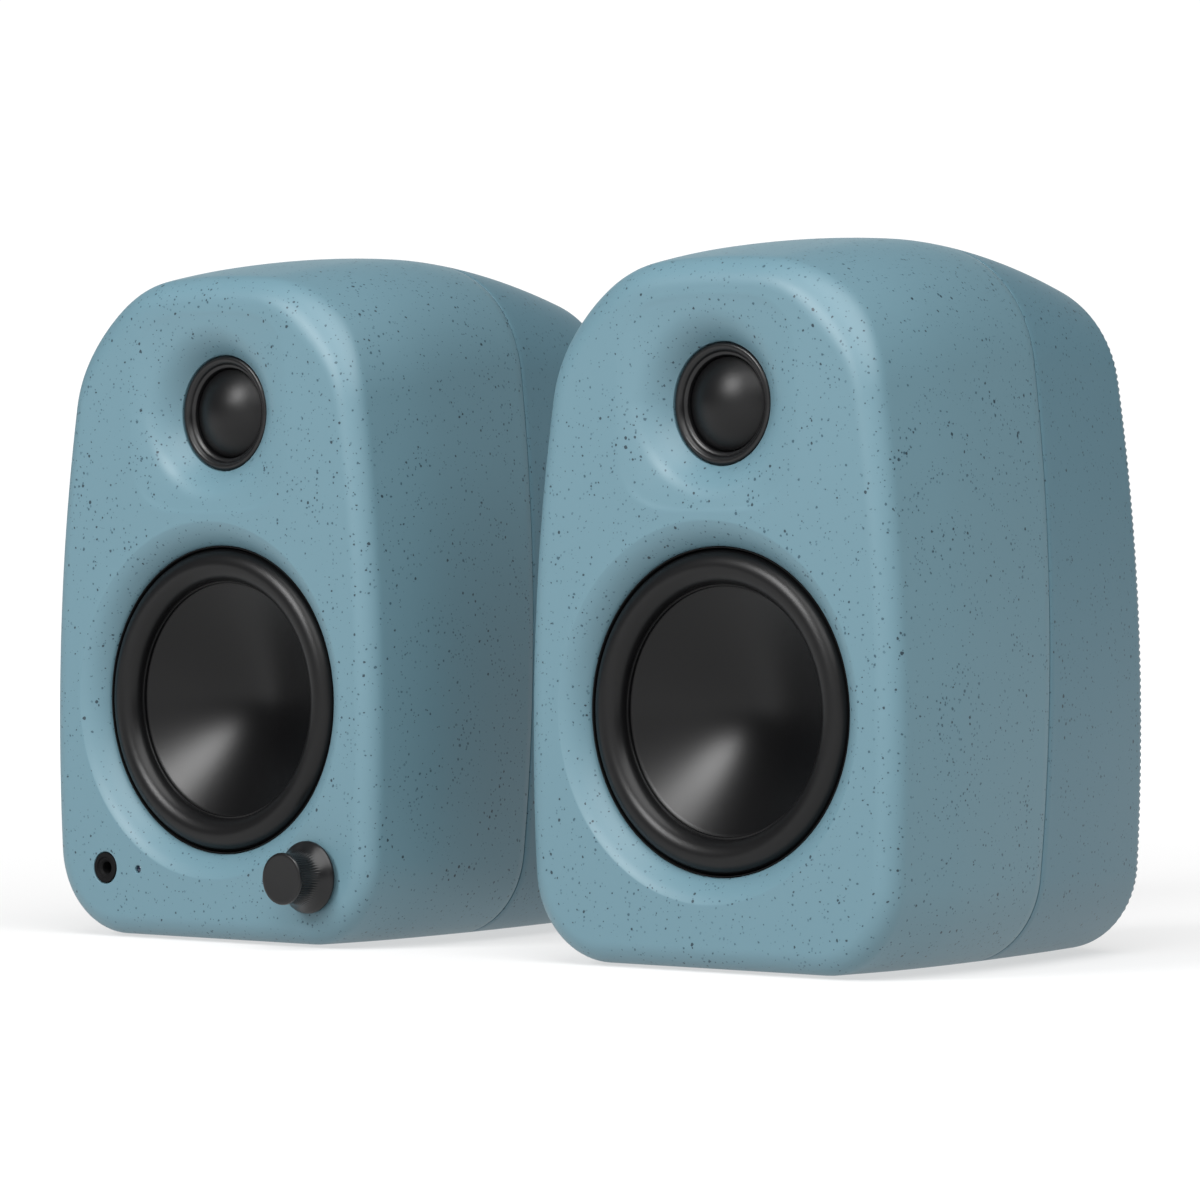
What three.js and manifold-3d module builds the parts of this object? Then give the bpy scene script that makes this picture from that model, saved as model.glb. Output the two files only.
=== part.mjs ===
// A pair of powered desktop speakers with a speckled two-shell cabinet: the left one holds the
// amplifier and the controls, the right one is passive. Millimetres, +Z up, fronts facing -Y.
// The origin is on the desk, under the middle of the pair's bounding box.
//
// Each speaker is drawn in its own frame: x = 0 on its centre line, y = 0 on the front face and
// growing to the back, z = 0 on the desk. Profiles of round pieces are lists of [radius, y].
import * as THREE from "three";
import { mergeVertices } from "three/addons/utils/BufferGeometryUtils.js";
import Module from "manifold-3d";

const wasm = await Module();
wasm.setup();

// ---- Driving dimensions ----
const PAIR_PITCH = 189.7; // between the two speakers' centre lines
const GAP = 0.3; // clearance between touching pieces
// Sides of a round piece. Pieces that fit in each other have equally many, so their flats line up.
const SIDES = { large: 24, medium: 20, small: 12, tiny: 6 };

const CABINET = {
  base: 0.8, // the foot pads hold the cabinet this far off the desk
  height: 205, // desk to the highest point of the crown
  depth: 146,
  halfWidth: 67.2,
  widestZ: 64.7,
  sideRadius: 621.8,
  topCorner: 44.05,
  crownRadius: 230.5,
  bottomCorner: 26.16,
  frontFillet: 4.6,
  backFillet: 12,
  crestAt: 0.439, // share of the depth where the crown is highest
  crownDrop: 37.28,
  crownPower: 1.79,
  widestAt: 0.197, // share of the depth where the plan view is widest
  sideTaper: 25.79,
  taperPower: 1.55,
};
const WALL = 4;
const FRONT_WALL = 4.6;
const LIP = 2; // half of the wall, left outside of the gasket groove
const SEAM = { y: 76.5, z: 94.6, lean: 0.064, gap: 0.5 };

const WOOFER = { z: 71.8, radius: 45.6, y: 6.2, recess: 53 };
const TWEETER = { z: 157, radius: 17, y: 7.5, dish: 30.7 };
const BOSS_BACK = 12; // back face of the baffle where the drivers seat
const KNOB = { x: 42, z: 21, reach: 12.8, skirt: 10.6, cap: 7.6 };
const JACK = { x: -42.5, z: 20.7, radius: 4.5, bore: 1.85 };
const LIGHT = { x: -28.7, z: 20.7, radius: 1.1 };
const PORT = { z: 146, bore: 13, wall: 2, flange: 18, length: 48 };
const SCREWS = [
  [-24, 158],
  [24, 158],
  [-28, 66],
  [28, 66],
];
const SCREW = { head: 3, shank: 1.5, well: 3.6, wellWall: 2.4 };
const PANEL = { z: 37, width: 62, height: 36, thick: 1.5, corner: 5 };
const FRONT_PAD = { y: 40, width: 60, depth: 44 };
const REAR_PAD = { y: 112, width: 46, depth: 36 };
const PAD_THICK = 2;
const RCA_REACH = 8; // the phono sockets stand this far behind the back face

// ---- Materials ----
const finish = (color, roughness, metalness = 0) =>
  new THREE.MeshStandardMaterial({ color, roughness, metalness });
const MATERIAL = {
  shell: finish("#7a9ca8", 0.6),
  rubber: finish("#1c1c1d", 0.55),
  cone: finish("#232324", 0.5),
  silk: finish("#1d1e1f", 0.6),
  blackPlastic: finish("#202122", 0.45),
  blackSteel: finish("#2a2b2d", 0.4, 0.6),
  ferrite: finish("#3a3a3c", 0.7, 0.2),
  copper: finish("#b0703c", 0.35, 0.9),
  spider: finish("#8a6b3c", 0.8),
  steel: finish("#8d9094", 0.35, 0.9),
  board: finish("#1f4d38", 0.6),
  gold: finish("#c9a24b", 0.3, 0.9),
  lens: finish("#101c33", 0.15),
};

// ---- Solids ----
const TINY_AREA = 1e-9;

/** Closes a three.js geometry into a solid, whichever way its faces wind. */
function solid(geometry) {
  const bare = new THREE.BufferGeometry();
  bare.setAttribute("position", geometry.getAttribute("position"));
  if (geometry.index) bare.setIndex(geometry.index);
  const merged = mergeVertices(bare, 1e-4);
  const points = merged.getAttribute("position");
  const corner = (i) => new THREE.Vector3().fromBufferAttribute(points, i);
  const triangles = [];
  let volume = 0;
  for (let i = 0; i < merged.index.count; i += 3) {
    const ids = [0, 1, 2].map((k) => merged.index.getX(i + k));
    if (new Set(ids).size < 3) continue;
    const [a, b, c] = ids.map(corner);
    const cross = new THREE.Vector3().crossVectors(b.clone().sub(a), c.clone().sub(a));
    if (cross.lengthSq() < TINY_AREA * TINY_AREA) continue;
    triangles.push(ids);
    volume += a.dot(cross);
  }
  const wound = volume < 0 ? triangles.map(([a, b, c]) => [a, c, b]) : triangles;
  return new wasm.Manifold(
    new wasm.Mesh({
      numProp: 3,
      vertProperties: points.array,
      triVerts: new Uint32Array(wound.flat()),
    }),
  );
}

/** Gives a solid back as a geometry for a mesh. */
function geometryOf(shape) {
  const mesh = shape.getMesh();
  return new THREE.BufferGeometry()
    .setAttribute("position", new THREE.BufferAttribute(mesh.vertProperties, 3))
    .setIndex(new THREE.BufferAttribute(mesh.triVerts, 1))
    .toNonIndexed();
}

const join = (first, ...rest) => rest.reduce((sum, part) => sum.add(part), first);
const cut = (first, ...rest) => rest.reduce((left, part) => left.subtract(part), first);

/** A solid of revolution about the y axis through (x, z); its profile closes on itself. */
function turned(profile, x = 0, z = 0, sides = SIDES.medium) {
  const outline = [...profile, profile[0]].map(([r, y]) => new THREE.Vector2(r, y));
  return solid(new THREE.LatheGeometry(outline, sides).translate(x, 0, z));
}

function rod(radius, y0, y1, x = 0, z = 0, sides = SIDES.small) {
  const geometry = new THREE.CylinderGeometry(radius, radius, y1 - y0, sides);
  return solid(geometry.translate(x, (y0 + y1) / 2, z));
}

function block(width, height, y0, y1, x = 0, z = 0) {
  const geometry = new THREE.BoxGeometry(width, y1 - y0, height);
  return solid(geometry.translate(x, (y0 + y1) / 2, z));
}

function roundedRectangle(width, height, radius) {
  const [w, h] = [width / 2 - radius, height / 2 - radius];
  const shape = new THREE.Shape();
  shape.absarc(w, h, radius, 0, Math.PI / 2);
  shape.absarc(-w, h, radius, Math.PI / 2, Math.PI);
  shape.absarc(-w, -h, radius, Math.PI, 1.5 * Math.PI);
  shape.absarc(w, -h, radius, 1.5 * Math.PI, 2 * Math.PI);
  return shape;
}

/** A plate with rounded corners that faces the back, from y0 to y1. */
function plate(width, height, radius, y0, y1, x = 0, z = 0) {
  const options = { depth: y1 - y0, bevelEnabled: false, curveSegments: 3 };
  const geometry = new THREE.ExtrudeGeometry(roundedRectangle(width, height, radius), options);
  return solid(geometry.rotateX(Math.PI / 2).translate(x, y1, z));
}

/** A flat pad with rounded corners that lies on the desk, from z0 to z1. */
function pad(width, depth, radius, z0, z1, y) {
  const options = { depth: z1 - z0, bevelEnabled: false, curveSegments: 3 };
  const geometry = new THREE.ExtrudeGeometry(roundedRectangle(width, depth, radius), options);
  return solid(geometry.translate(0, y, z0));
}

/** Joins rings of equally many points into one closed body with flat ends. */
function loft(rings) {
  const count = rings[0].length;
  const centre = (ring) =>
    ring.reduce((sum, p) => sum.add(p), new THREE.Vector3()).divideScalar(count);
  const points = [...rings.flat(), centre(rings[0]), centre(rings.at(-1))];
  const index = [];
  for (let r = 0; r + 1 < rings.length; r++) {
    for (let i = 0; i < count; i++) {
      const [a, b] = [r * count + i, r * count + ((i + 1) % count)];
      index.push(a, b, b + count, a, b + count, a + count);
    }
  }
  const [first, last] = [points.length - 2, points.length - 1];
  for (let i = 0; i < count; i++) {
    const next = (i + 1) % count;
    const back = (rings.length - 1) * count;
    index.push(first, next, i, last, back + i, back + next);
  }
  const positions = new Float32Array(points.flatMap((p) => [p.x, p.y, p.z]));
  const geometry = new THREE.BufferGeometry();
  geometry.setAttribute("position", new THREE.BufferAttribute(positions, 3));
  geometry.setIndex(index);
  return solid(geometry);
}

// ---- The cabinet's form ----
const bulge = (share, from, amount, power) => amount * Math.abs(share - from) ** power;

/** Points on an arc, from angle a0 to a1. */
function arc([cx, cz], radius, a0, a1, steps) {
  const at = (k) => a0 + ((a1 - a0) * k) / steps;
  return Array.from({ length: steps + 1 }, (_, k) => [
    cx + radius * Math.cos(at(k)),
    cz + radius * Math.sin(at(k)),
  ]);
}

/** Where two circles meet, on the side further from the centre line. */
function meeting([ax, az], ra, [bx, bz], rb) {
  const [dx, dz] = [bx - ax, bz - az];
  const apart = Math.hypot(dx, dz);
  const along = (ra * ra - rb * rb + apart * apart) / (2 * apart);
  const off = Math.sqrt(ra * ra - along * along);
  const spots = [1, -1].map((side) => [
    ax + (along * dx - side * off * dz) / apart,
    az + (along * dz + side * off * dx) / apart,
  ]);
  return spots[0][0] > spots[1][0] ? spots[0] : spots[1];
}

/** The cabinet's outline at depth y, shrunk by inset: [x, z] points up one side and down the other. */
function outline(y, inset) {
  const c = CABINET;
  const share = y / c.depth;
  const half = c.halfWidth - bulge(share, c.widestAt, c.sideTaper, c.taperPower);
  const top = c.height - c.base - bulge(share, c.crestAt, c.crownDrop, c.crownPower);
  const corner = (c.topCorner * half) / c.halfWidth;
  const widest = c.widestZ - c.base;
  const side = [half - c.sideRadius, widest];
  const crown = [0, top - c.crownRadius];
  const shoulder = meeting(side, c.sideRadius - corner, crown, c.crownRadius - corner);
  const reach = Math.sqrt((c.sideRadius - c.bottomCorner) ** 2 - (c.bottomCorner - widest) ** 2);
  const foot = [side[0] + reach, c.bottomCorner];
  const angle = (from, to) => Math.atan2(to[1] - from[1], to[0] - from[0]);
  const a0 = angle(side, foot);
  const a1 = angle(side, shoulder);
  const a2 = angle(crown, shoulder);
  const right = [
    ...arc(foot, c.bottomCorner - inset, -Math.PI / 2, a0, 3),
    ...arc(side, c.sideRadius - inset, a0, a1, 2).slice(1),
    ...arc(shoulder, corner - inset, a1, a2, 4).slice(1),
    ...arc(crown, c.crownRadius - inset, a2, Math.PI / 2, 2).slice(1),
  ];
  const left = right.slice(0, -1).reverse();
  return [...right, ...left.map(([x, z]) => [-x, z])].map(([x, z]) => [x, z + c.base]);
}

/** A ring on the cabinet's form; depth is a y, or a function that gives y from z. */
function ring(depth, inset = 0) {
  const depthAt = typeof depth === "function" ? depth : () => depth;
  return outline(depthAt(SEAM.z), inset).map((start, i) => {
    let [x, z] = start;
    for (let round = 0; round < 3; round++) [x, z] = outline(depthAt(z), inset)[i];
    return new THREE.Vector3(x, depthAt(z), z);
  });
}

const seamAt = (z) => SEAM.y + SEAM.lean * (z - SEAM.z);
const seamPlus = (offset) => (z) => seamAt(z) + offset;
/** A depth that runs from y at share 0 to the seam's leaning plane at share 1. */
const towardSeam = (y, share) => (z) => y + (seamAt(z) - y) * share;

/** Rings that round an edge from the flat face at y to the full outline, radius deep. */
function roundedEdge(y, inward, radius, steps) {
  return Array.from({ length: steps + 1 }, (_, k) => {
    const a = (k / steps) * (Math.PI / 2);
    return ring(y + inward * radius * (1 - Math.cos(a)), radius * (1 - Math.sin(a)));
  });
}

function frontForm() {
  const r = CABINET.frontFillet;
  const middles = [0.3, 0.65].map((share) => ring(towardSeam(r, share)));
  return loft([...roundedEdge(0, 1, r, 2), ...middles, ring(seamPlus(-SEAM.gap / 2))]);
}

function backForm() {
  const start = CABINET.depth - CABINET.backFillet;
  const middles = [0.65, 0.3].map((share) => ring(towardSeam(start, share)));
  const edge = roundedEdge(CABINET.depth, -1, CABINET.backFillet, 3).reverse();
  return loft([ring(seamPlus(SEAM.gap / 2)), ...middles, ...edge]);
}

function frontCavity() {
  const middle = ring(towardSeam(FRONT_WALL, 0.5), WALL);
  return loft([ring(FRONT_WALL, WALL + 1), ring(FRONT_WALL + 3, WALL), middle, ring(seamPlus(1), WALL)]);
}

function backCavity() {
  const { depth, backFillet } = CABINET;
  const middle = ring(towardSeam(depth - backFillet, 0.5), WALL);
  return loft([
    ring(seamPlus(-1), WALL),
    middle,
    ring(depth - backFillet, WALL),
    ring(depth - backFillet * 0.6, WALL + 2.5),
    ring(depth - WALL, backFillet - 1),
  ]);
}

/** The part of the wall between two insets, from one offset to the other behind the seam. */
function seamBand(outer, inner, from, to) {
  return cut(
    loft([ring(seamPlus(from), outer), ring(seamPlus(to), outer)]),
    loft([ring(seamPlus(from - 1), inner), ring(seamPlus(to + 1), inner)]),
  );
}

/** A ring of points on a rounded square about the tweeter's axis; power 2 makes it a circle. */
function dishRing(half, y, power, z = TWEETER.z) {
  const count = SIDES.medium;
  return Array.from({ length: count }, (_, k) => {
    const a = (k / count) * 2 * Math.PI;
    const [c, s] = [Math.cos(a), Math.sin(a)];
    const r = half / (Math.abs(c) ** power + Math.abs(s) ** power) ** (1 / power);
    return new THREE.Vector3(r * c, y, z + r * s);
  });
}

// ---- Cabinet pieces ----
function wooferRecess() {
  const { radius, recess, y, z } = WOOFER;
  const hole = radius + GAP;
  const profile = [
    [0, -1],
    [recess + 0.6, -1],
    [recess - 1, 0.6],
    [hole + 0.6, y],
    [hole, BOSS_BACK + 1],
    [0, BOSS_BACK + 1],
  ];
  return turned(profile, 0, z, SIDES.large);
}

function tweeterDish() {
  const { radius, dish, y } = TWEETER;
  const hole = radius + GAP;
  return loft([
    dishRing(dish + 0.5, -1, 2.9),
    dishRing(dish, 0, 2.9),
    dishRing(hole + 6, 4, 2.4),
    dishRing(hole, y, 2),
    dishRing(hole, BOSS_BACK + 1, 2),
  ]);
}

/** A post for a case screw, tied to the side wall by a web. */
function screwPost([x, z]) {
  const end = seamAt(z) - 1;
  const post = rod(5, end - 22, end, x, z, SIDES.tiny);
  const web = block(34, 3, end - 22, end - 2, x + Math.sign(x) * 17, z);
  return join(post, web);
}

function padPocket({ y, width, depth }) {
  const top = PAD_THICK + GAP;
  return pad(width + 2 * GAP, depth + 2 * GAP, 6, -1, top, y);
}

function frontShell(active) {
  const form = frontForm();
  const seats = join(
    rod(56, FRONT_WALL - 1, BOSS_BACK, 0, WOOFER.z, SIDES.large),
    loft([dishRing(34, FRONT_WALL - 1, 2.6), dishRing(26, BOSS_BACK, 2.3)]),
  ).intersect(form);
  const posts = join(...SCREWS.map(screwPost)).intersect(form);
  let shell = join(cut(form, frontCavity()), seats, posts);
  shell = cut(shell, wooferRecess(), tweeterDish(), padPocket(FRONT_PAD));
  shell = cut(shell, seamBand(LIP, WALL + 1, -2.5, 1));
  for (const [x, z] of SCREWS) {
    const end = seamAt(z);
    shell = cut(shell, rod(SCREW.shank + GAP, end - 16, end, x, z, SIDES.tiny));
  }
  if (!active) return shell;
  return cut(
    shell,
    rod(JACK.radius + GAP, -1, FRONT_WALL + 1, JACK.x, JACK.z),
    rod(LIGHT.radius + GAP, -1, FRONT_WALL + 1, LIGHT.x, LIGHT.z, SIDES.tiny),
    rod(BUSHING + GAP, -1, FRONT_WALL + 1, KNOB.x, KNOB.z),
  );
}

function rearShell() {
  const { depth } = CABINET;
  const form = backForm();
  const wells = SCREWS.map(([x, z]) =>
    rod(SCREW.well + SCREW.wellWall, seamAt(z) + 1, depth - 1, x, z, SIDES.tiny),
  );
  let shell = join(cut(form, backCavity()), ...wells);
  shell = cut(shell, seamBand(LIP, WALL + 1, -1, 1.5), padPocket(REAR_PAD));
  for (const [x, z] of SCREWS) {
    const floor = seamAt(z) + 1;
    const shaft = rod(SCREW.shank + GAP, floor - 1, floor + 4, x, z, SIDES.tiny);
    shell = cut(shell, rod(SCREW.well, floor + 3, depth + 1, x, z, SIDES.tiny), shaft);
  }
  const opening = plate(PANEL.width - 6, PANEL.height - 6, 4, depth - 6, depth + 1, 0, PANEL.z);
  const seat = plate(
    PANEL.width + 2 * GAP,
    PANEL.height + 2 * GAP,
    PANEL.corner + GAP,
    depth - PANEL.thick - GAP,
    depth + 1,
    0,
    PANEL.z,
  );
  const bore = PORT.bore + PORT.wall + GAP;
  const portHole = rod(bore, depth - 6, depth + 1, 0, PORT.z, SIDES.medium);
  const portSeat = rod(PORT.flange + GAP, depth - 1.8, depth + 1, 0, PORT.z, SIDES.medium);
  return cut(shell, opening, seat, portHole, portSeat);
}

const shellGasket = () => seamBand(LIP + GAP, WALL, -2.2, 1.2);

function footPad({ y, width, depth }) {
  return pad(width, depth, 6, 0, PAD_THICK, y);
}

function caseScrew([x, z]) {
  const seat = seamAt(z) + 4 + GAP;
  const { head, shank } = SCREW;
  const profile = [
    [0, seat + 1],
    [1.1, seat + 1],
    [1.1, seat + 2.2],
    [head, seat + 2.2],
    [head, seat],
    [shank, seat],
    [shank, seat - 17],
    [0, seat - 19],
  ];
  return turned(profile, x, z, SIDES.tiny);
}

function portTube() {
  const { bore, wall, flange, length } = PORT;
  const back = CABINET.depth;
  const profile = [
    [bore, back],
    [bore, back - length],
    [bore + wall, back - length],
    [bore + wall, back - 1.5],
    [flange, back - 1.5],
    [flange, back],
  ];
  return turned(profile, 0, PORT.z, SIDES.small);
}

// ---- Woofer ----
const LEDGE = 9.8; // y of the ledge that the surround is glued to
const ROLL = { radius: 39.3, half: 4.4, foot: 8.7, crest: 4, thick: 0.9 };
const CONE = { radius: 34.6, edge: 33.7, y: 9.8, depth: 12.4, roundOff: 16, thick: 0.8 };
const COIL = { inner: 12.2, outer: 12.8, winding: 13.4, start: 20.9, end: 40 };
const MAGNET = { front: 30.3, pole: 11.6, gap: 14, plate: 29, ring: 33, back: 50 };

function wooferBasket() {
  const lip = WOOFER.radius;
  const profile = [
    [44, WOOFER.y],
    [lip, WOOFER.y],
    [lip, BOSS_BACK + GAP],
    [52, BOSS_BACK + GAP],
    [52, 14.8],
    [43.5, 14.8],
    [34.8, 24.4],
    [34.8, 30],
    [16, 30],
    [16, 28.2],
    [31, 28.2],
    [31, 24.9],
    [33.2, 24.9],
    [42, LEDGE],
    [44, LEDGE],
  ];
  let basket = turned(profile, 0, WOOFER.z, SIDES.large);
  const windows = 4;
  for (let k = 0; k < windows; k++) {
    const turn = ((k + 0.5) / windows) * 2 * Math.PI;
    const geometry = new THREE.BoxGeometry(16, 5.6, 30).translate(39, 19, 0);
    basket = cut(basket, solid(geometry.rotateY(turn).translate(0, 0, WOOFER.z)));
  }
  return basket;
}

function surround() {
  const { radius, half, foot, crest, thick } = ROLL;
  const roll = (shrink, steps) =>
    Array.from({ length: steps + 1 }, (_, k) => {
      const a = (k / steps) * Math.PI;
      const rise = (foot - crest - shrink) * Math.sin(a);
      return [radius + (half - shrink) * Math.cos(a), foot + shrink - rise];
    });
  const profile = [
    ...roll(0, 5),
    [CONE.edge, foot],
    [CONE.edge, foot + thick - 0.1],
    ...roll(thick, 3).reverse(),
    [radius + half, foot + thick - 0.1],
  ];
  return turned(profile, 0, WOOFER.z, SIDES.large);
}

function cone() {
  const { radius, edge, y, depth, roundOff, thick } = CONE;
  const fall = (r) => Math.hypot(r, roundOff) - roundOff;
  const bowl = (r) => y + depth * (1 - fall(r) / fall(edge));
  const radii = [edge, 27, 18, 9, 0];
  const profile = [
    [radius, y],
    ...radii.map((r) => [r, bowl(r)]),
    ...radii.map((r) => [r, bowl(r) + thick]).reverse(),
    [radius, y + thick],
  ];
  return turned(profile, 0, WOOFER.z);
}

function voiceCoil() {
  const { inner, outer, winding, start, end } = COIL;
  const profile = [
    [inner, start],
    [outer, start],
    [outer, 30.5],
    [winding, 30.5],
    [winding, 38.5],
    [outer, 38.5],
    [outer, end],
    [inner, end],
  ];
  return turned(profile, 0, WOOFER.z, SIDES.small);
}

function spider() {
  const [inner, outer, waves, thick] = [COIL.outer + GAP, 32.4, 2, 0.6];
  const steps = waves * 2;
  const line = (lift) =>
    Array.from({ length: steps + 1 }, (_, k) => [
      inner + ((outer - inner) * k) / steps,
      24 - lift + (k % 2 ? 0.6 : 0) * (k < steps ? 1 : 0),
    ]);
  return turned([...line(thick), ...line(0).reverse()], 0, WOOFER.z, SIDES.small);
}

function wooferMagnet() {
  const { front, pole, gap, plate: top, ring: outer, back } = MAGNET;
  const profile = [
    [0, front],
    [pole, front],
    [pole, back - 4.5],
    [gap, back - 4.5],
    [gap, front],
    [top, front],
    [top, front + 4],
    [outer, front + 4],
    [outer, back - 4],
    [outer - 2, back - 4],
    [outer - 2, back],
    [0, back],
  ];
  return turned(profile, 0, WOOFER.z);
}

// ---- Tweeter ----
const DOME = { radius: 13, base: 10.3, apex: 5.4, thick: 0.6, former: 9.5 };

function tweeterRing() {
  const { radius, y, z } = TWEETER;
  const inner = DOME.radius + GAP;
  const profile = [
    [inner, y + 2.2],
    [inner + 0.7, y + 1.2],
    [radius - 1.8, y + 0.1],
    [radius - 0.6, y],
    [radius, y + 0.6],
    [radius, BOSS_BACK + GAP],
    [21, BOSS_BACK + GAP],
    [21, 14.4],
    [inner, 14.4],
  ];
  return turned(profile, 0, z);
}

function tweeterDome() {
  const { radius, base, apex, thick, former } = DOME;
  const rise = base - apex;
  const sphere = (radius * radius + rise * rise) / (2 * rise);
  const cap = (r, lift) => apex + lift + sphere - Math.sqrt(sphere * sphere - r * r);
  const profile = [
    [0, apex],
    ...[4, 8].map((r) => [r, cap(r, 0)]),
    [radius, base],
    [radius, base + thick],
    [former + thick, base + thick],
    [former + thick, 17],
    [former, 17],
    [former, cap(former, thick)],
    ...[8, 4].map((r) => [r, cap(r, thick)]),
    [0, apex + thick],
  ];
  return turned(profile, 0, TWEETER.z);
}

function tweeterMagnet() {
  const front = 14.4 + GAP;
  const profile = [
    [0, front],
    [8.8, front],
    [8.8, 19],
    [10.8, 19],
    [10.8, front],
    [15.5, front],
    [15.5, 31],
    [0, 31],
  ];
  return turned(profile, 0, TWEETER.z, SIDES.small);
}

// ---- Controls on the left speaker's front ----
const BUSHING = 4.5;
const SHAFT = 3;
const CHAMBER = { from: 6.8, to: 11.6, radius: 5 };

function volumeEncoder() {
  const { x, z } = KNOB;
  const housing = block(12, 12, FRONT_WALL + GAP, 14, x, z);
  const bushing = rod(BUSHING, 0.6, FRONT_WALL + 1, x, z);
  const bore = rod(SHAFT + GAP, 0, CHAMBER.from + 1, x, z);
  const chamber = rod(CHAMBER.radius, CHAMBER.from, CHAMBER.to, x, z);
  return cut(join(housing, bushing), bore, chamber);
}

const encoderPlunger = () => rod(CHAMBER.radius - 0.4, 7.5, 9.6, KNOB.x, KNOB.z);
const volumeShaft = () => rod(SHAFT, -8.6, 7.2, KNOB.x, KNOB.z);

function volumeKnob() {
  const { x, z, reach, skirt, cap } = KNOB;
  const back = -1.2;
  const profile = [
    [0, -reach],
    [cap - 0.4, -reach],
    [cap, -reach + 0.4],
    [cap - 0.2, -7],
    [cap + 1.2, -3.6],
    [skirt, -1.9],
    [skirt, back],
    [SHAFT + GAP, back],
    [SHAFT + GAP, -8.9],
    [0, -8.9],
  ];
  return turned(profile, x, z);
}

function headphoneJack() {
  const { x, z, radius, bore } = JACK;
  const barrel = rod(radius, -0.1, FRONT_WALL + 1, x, z);
  const body = block(9.4, 9.4, FRONT_WALL + GAP, 19, x, z);
  return cut(join(barrel, body), rod(bore, -1, 16, x, z, SIDES.tiny));
}

const statusLight = () => rod(LIGHT.radius, 0.4, 9, LIGHT.x, LIGHT.z, SIDES.tiny);

// ---- Back panels and electronics ----
const LINK = { width: 14, height: 10, depth: 9, wall: 1.4 };
const USB = { width: 9.4, height: 3.8, depth: 8 };
const PHONO = { radius: 4.2, flange: 5.6, bore: 1.7 };
const INLET = { radius: 5.4, bore: 3.1, pin: 1, depth: 12 };
const SPOTS = {
  linkActive: [-7.5, 37],
  linkPassive: [0, 37],
  usb: [8.5, 37],
  phonoUpper: [21.5, 45],
  phonoLower: [21.5, 29],
  inlet: [-22.5, 37],
};

function backPanel(active) {
  const { width, height, thick, corner, z } = PANEL;
  const back = CABINET.depth;
  const sheet = plate(width, height, corner, back - thick, back, 0, z);
  const through = (w, h, r, [x, zz]) =>
    plate(w + 2 * GAP, h + 2 * GAP, r, back - thick - 1, back + 1, x, zz);
  const { linkActive, linkPassive, usb, phonoUpper, phonoLower, inlet } = SPOTS;
  if (!active) return cut(sheet, through(LINK.width, LINK.height, 2, linkPassive));
  const hole = (radius, [x, zz]) => rod(radius + GAP, back - thick - 1, back + 1, x, zz);
  return cut(
    sheet,
    through(LINK.width, LINK.height, 2, linkActive),
    through(USB.width, USB.height, 2, usb),
    hole(PHONO.radius, phonoUpper),
    hole(PHONO.radius, phonoLower),
    hole(INLET.radius, inlet),
  );
}

function linkSocket([x, z]) {
  const back = CABINET.depth;
  const { width, height, depth, wall } = LINK;
  const body = plate(width, height, 1.6, back - depth, back, x, z);
  return cut(body, plate(width - 2 * wall, height - 2 * wall, 0.8, back - depth + 2, back + 1, x, z));
}

function usbSocket() {
  const back = CABINET.depth;
  const { width, height, depth } = USB;
  const [x, z] = SPOTS.usb;
  const body = plate(width, height, 1.7, back - depth, back, x, z);
  return cut(body, plate(width - 1, height - 1, 1.2, back - depth + 1, back + 1, x, z));
}

/** A phono socket: its shell stands behind the back face, its body is clear of the panel. */
function phonoSocket([x, z]) {
  const back = CABINET.depth;
  const { radius, flange, bore } = PHONO;
  const under = back - PANEL.thick - GAP;
  const profile = [
    [bore, back + RCA_REACH],
    [radius - 0.4, back + RCA_REACH],
    [radius, back + RCA_REACH - 0.4],
    [radius, under],
    [flange, under],
    [flange, under - 6],
    [0, under - 6],
    [0, back + 1],
    [bore, back + 1],
  ];
  return turned(profile, x, z, SIDES.small);
}

function powerInlet() {
  const back = CABINET.depth;
  const [x, z] = SPOTS.inlet;
  const { radius, bore, pin, depth } = INLET;
  const profile = [
    [0, back - 2],
    [pin, back - 2],
    [pin, back - depth + 2],
    [bore, back - depth + 2],
    [bore, back],
    [radius, back],
    [radius, back - depth],
    [0, back - depth],
  ];
  return turned(profile, x, z, SIDES.small);
}

/** A circuit board with its tallest parts on the side that faces the front. */
function board(width, height, parts) {
  const y = 122;
  const sheet = block(width, height, y, y + 1.6, 0, PANEL.z);
  const bodies = parts.map(([w, h, tall, x, z]) => block(w, h, y - tall, y + 0.4, x, PANEL.z + z));
  return join(sheet, ...bodies);
}

const amplifierBoard = () =>
  board(60, 30, [
    [16, 22, 18, -18, 0],
    [12, 12, 14, 2, 5],
    [10, 10, 12, 18, 6],
    [14, 8, 6, 14, -8],
  ]);

const crossoverBoard = () =>
  board(44, 28, [
    [14, 14, 15, -12, 2],
    [10, 18, 12, 10, 0],
  ]);

// ---- The pair ----
const pair = new THREE.Group();

function addTo(group, name, shape, material) {
  const mesh = new THREE.Mesh(geometryOf(shape), material);
  mesh.name = name;
  group.add(mesh);
}

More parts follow.
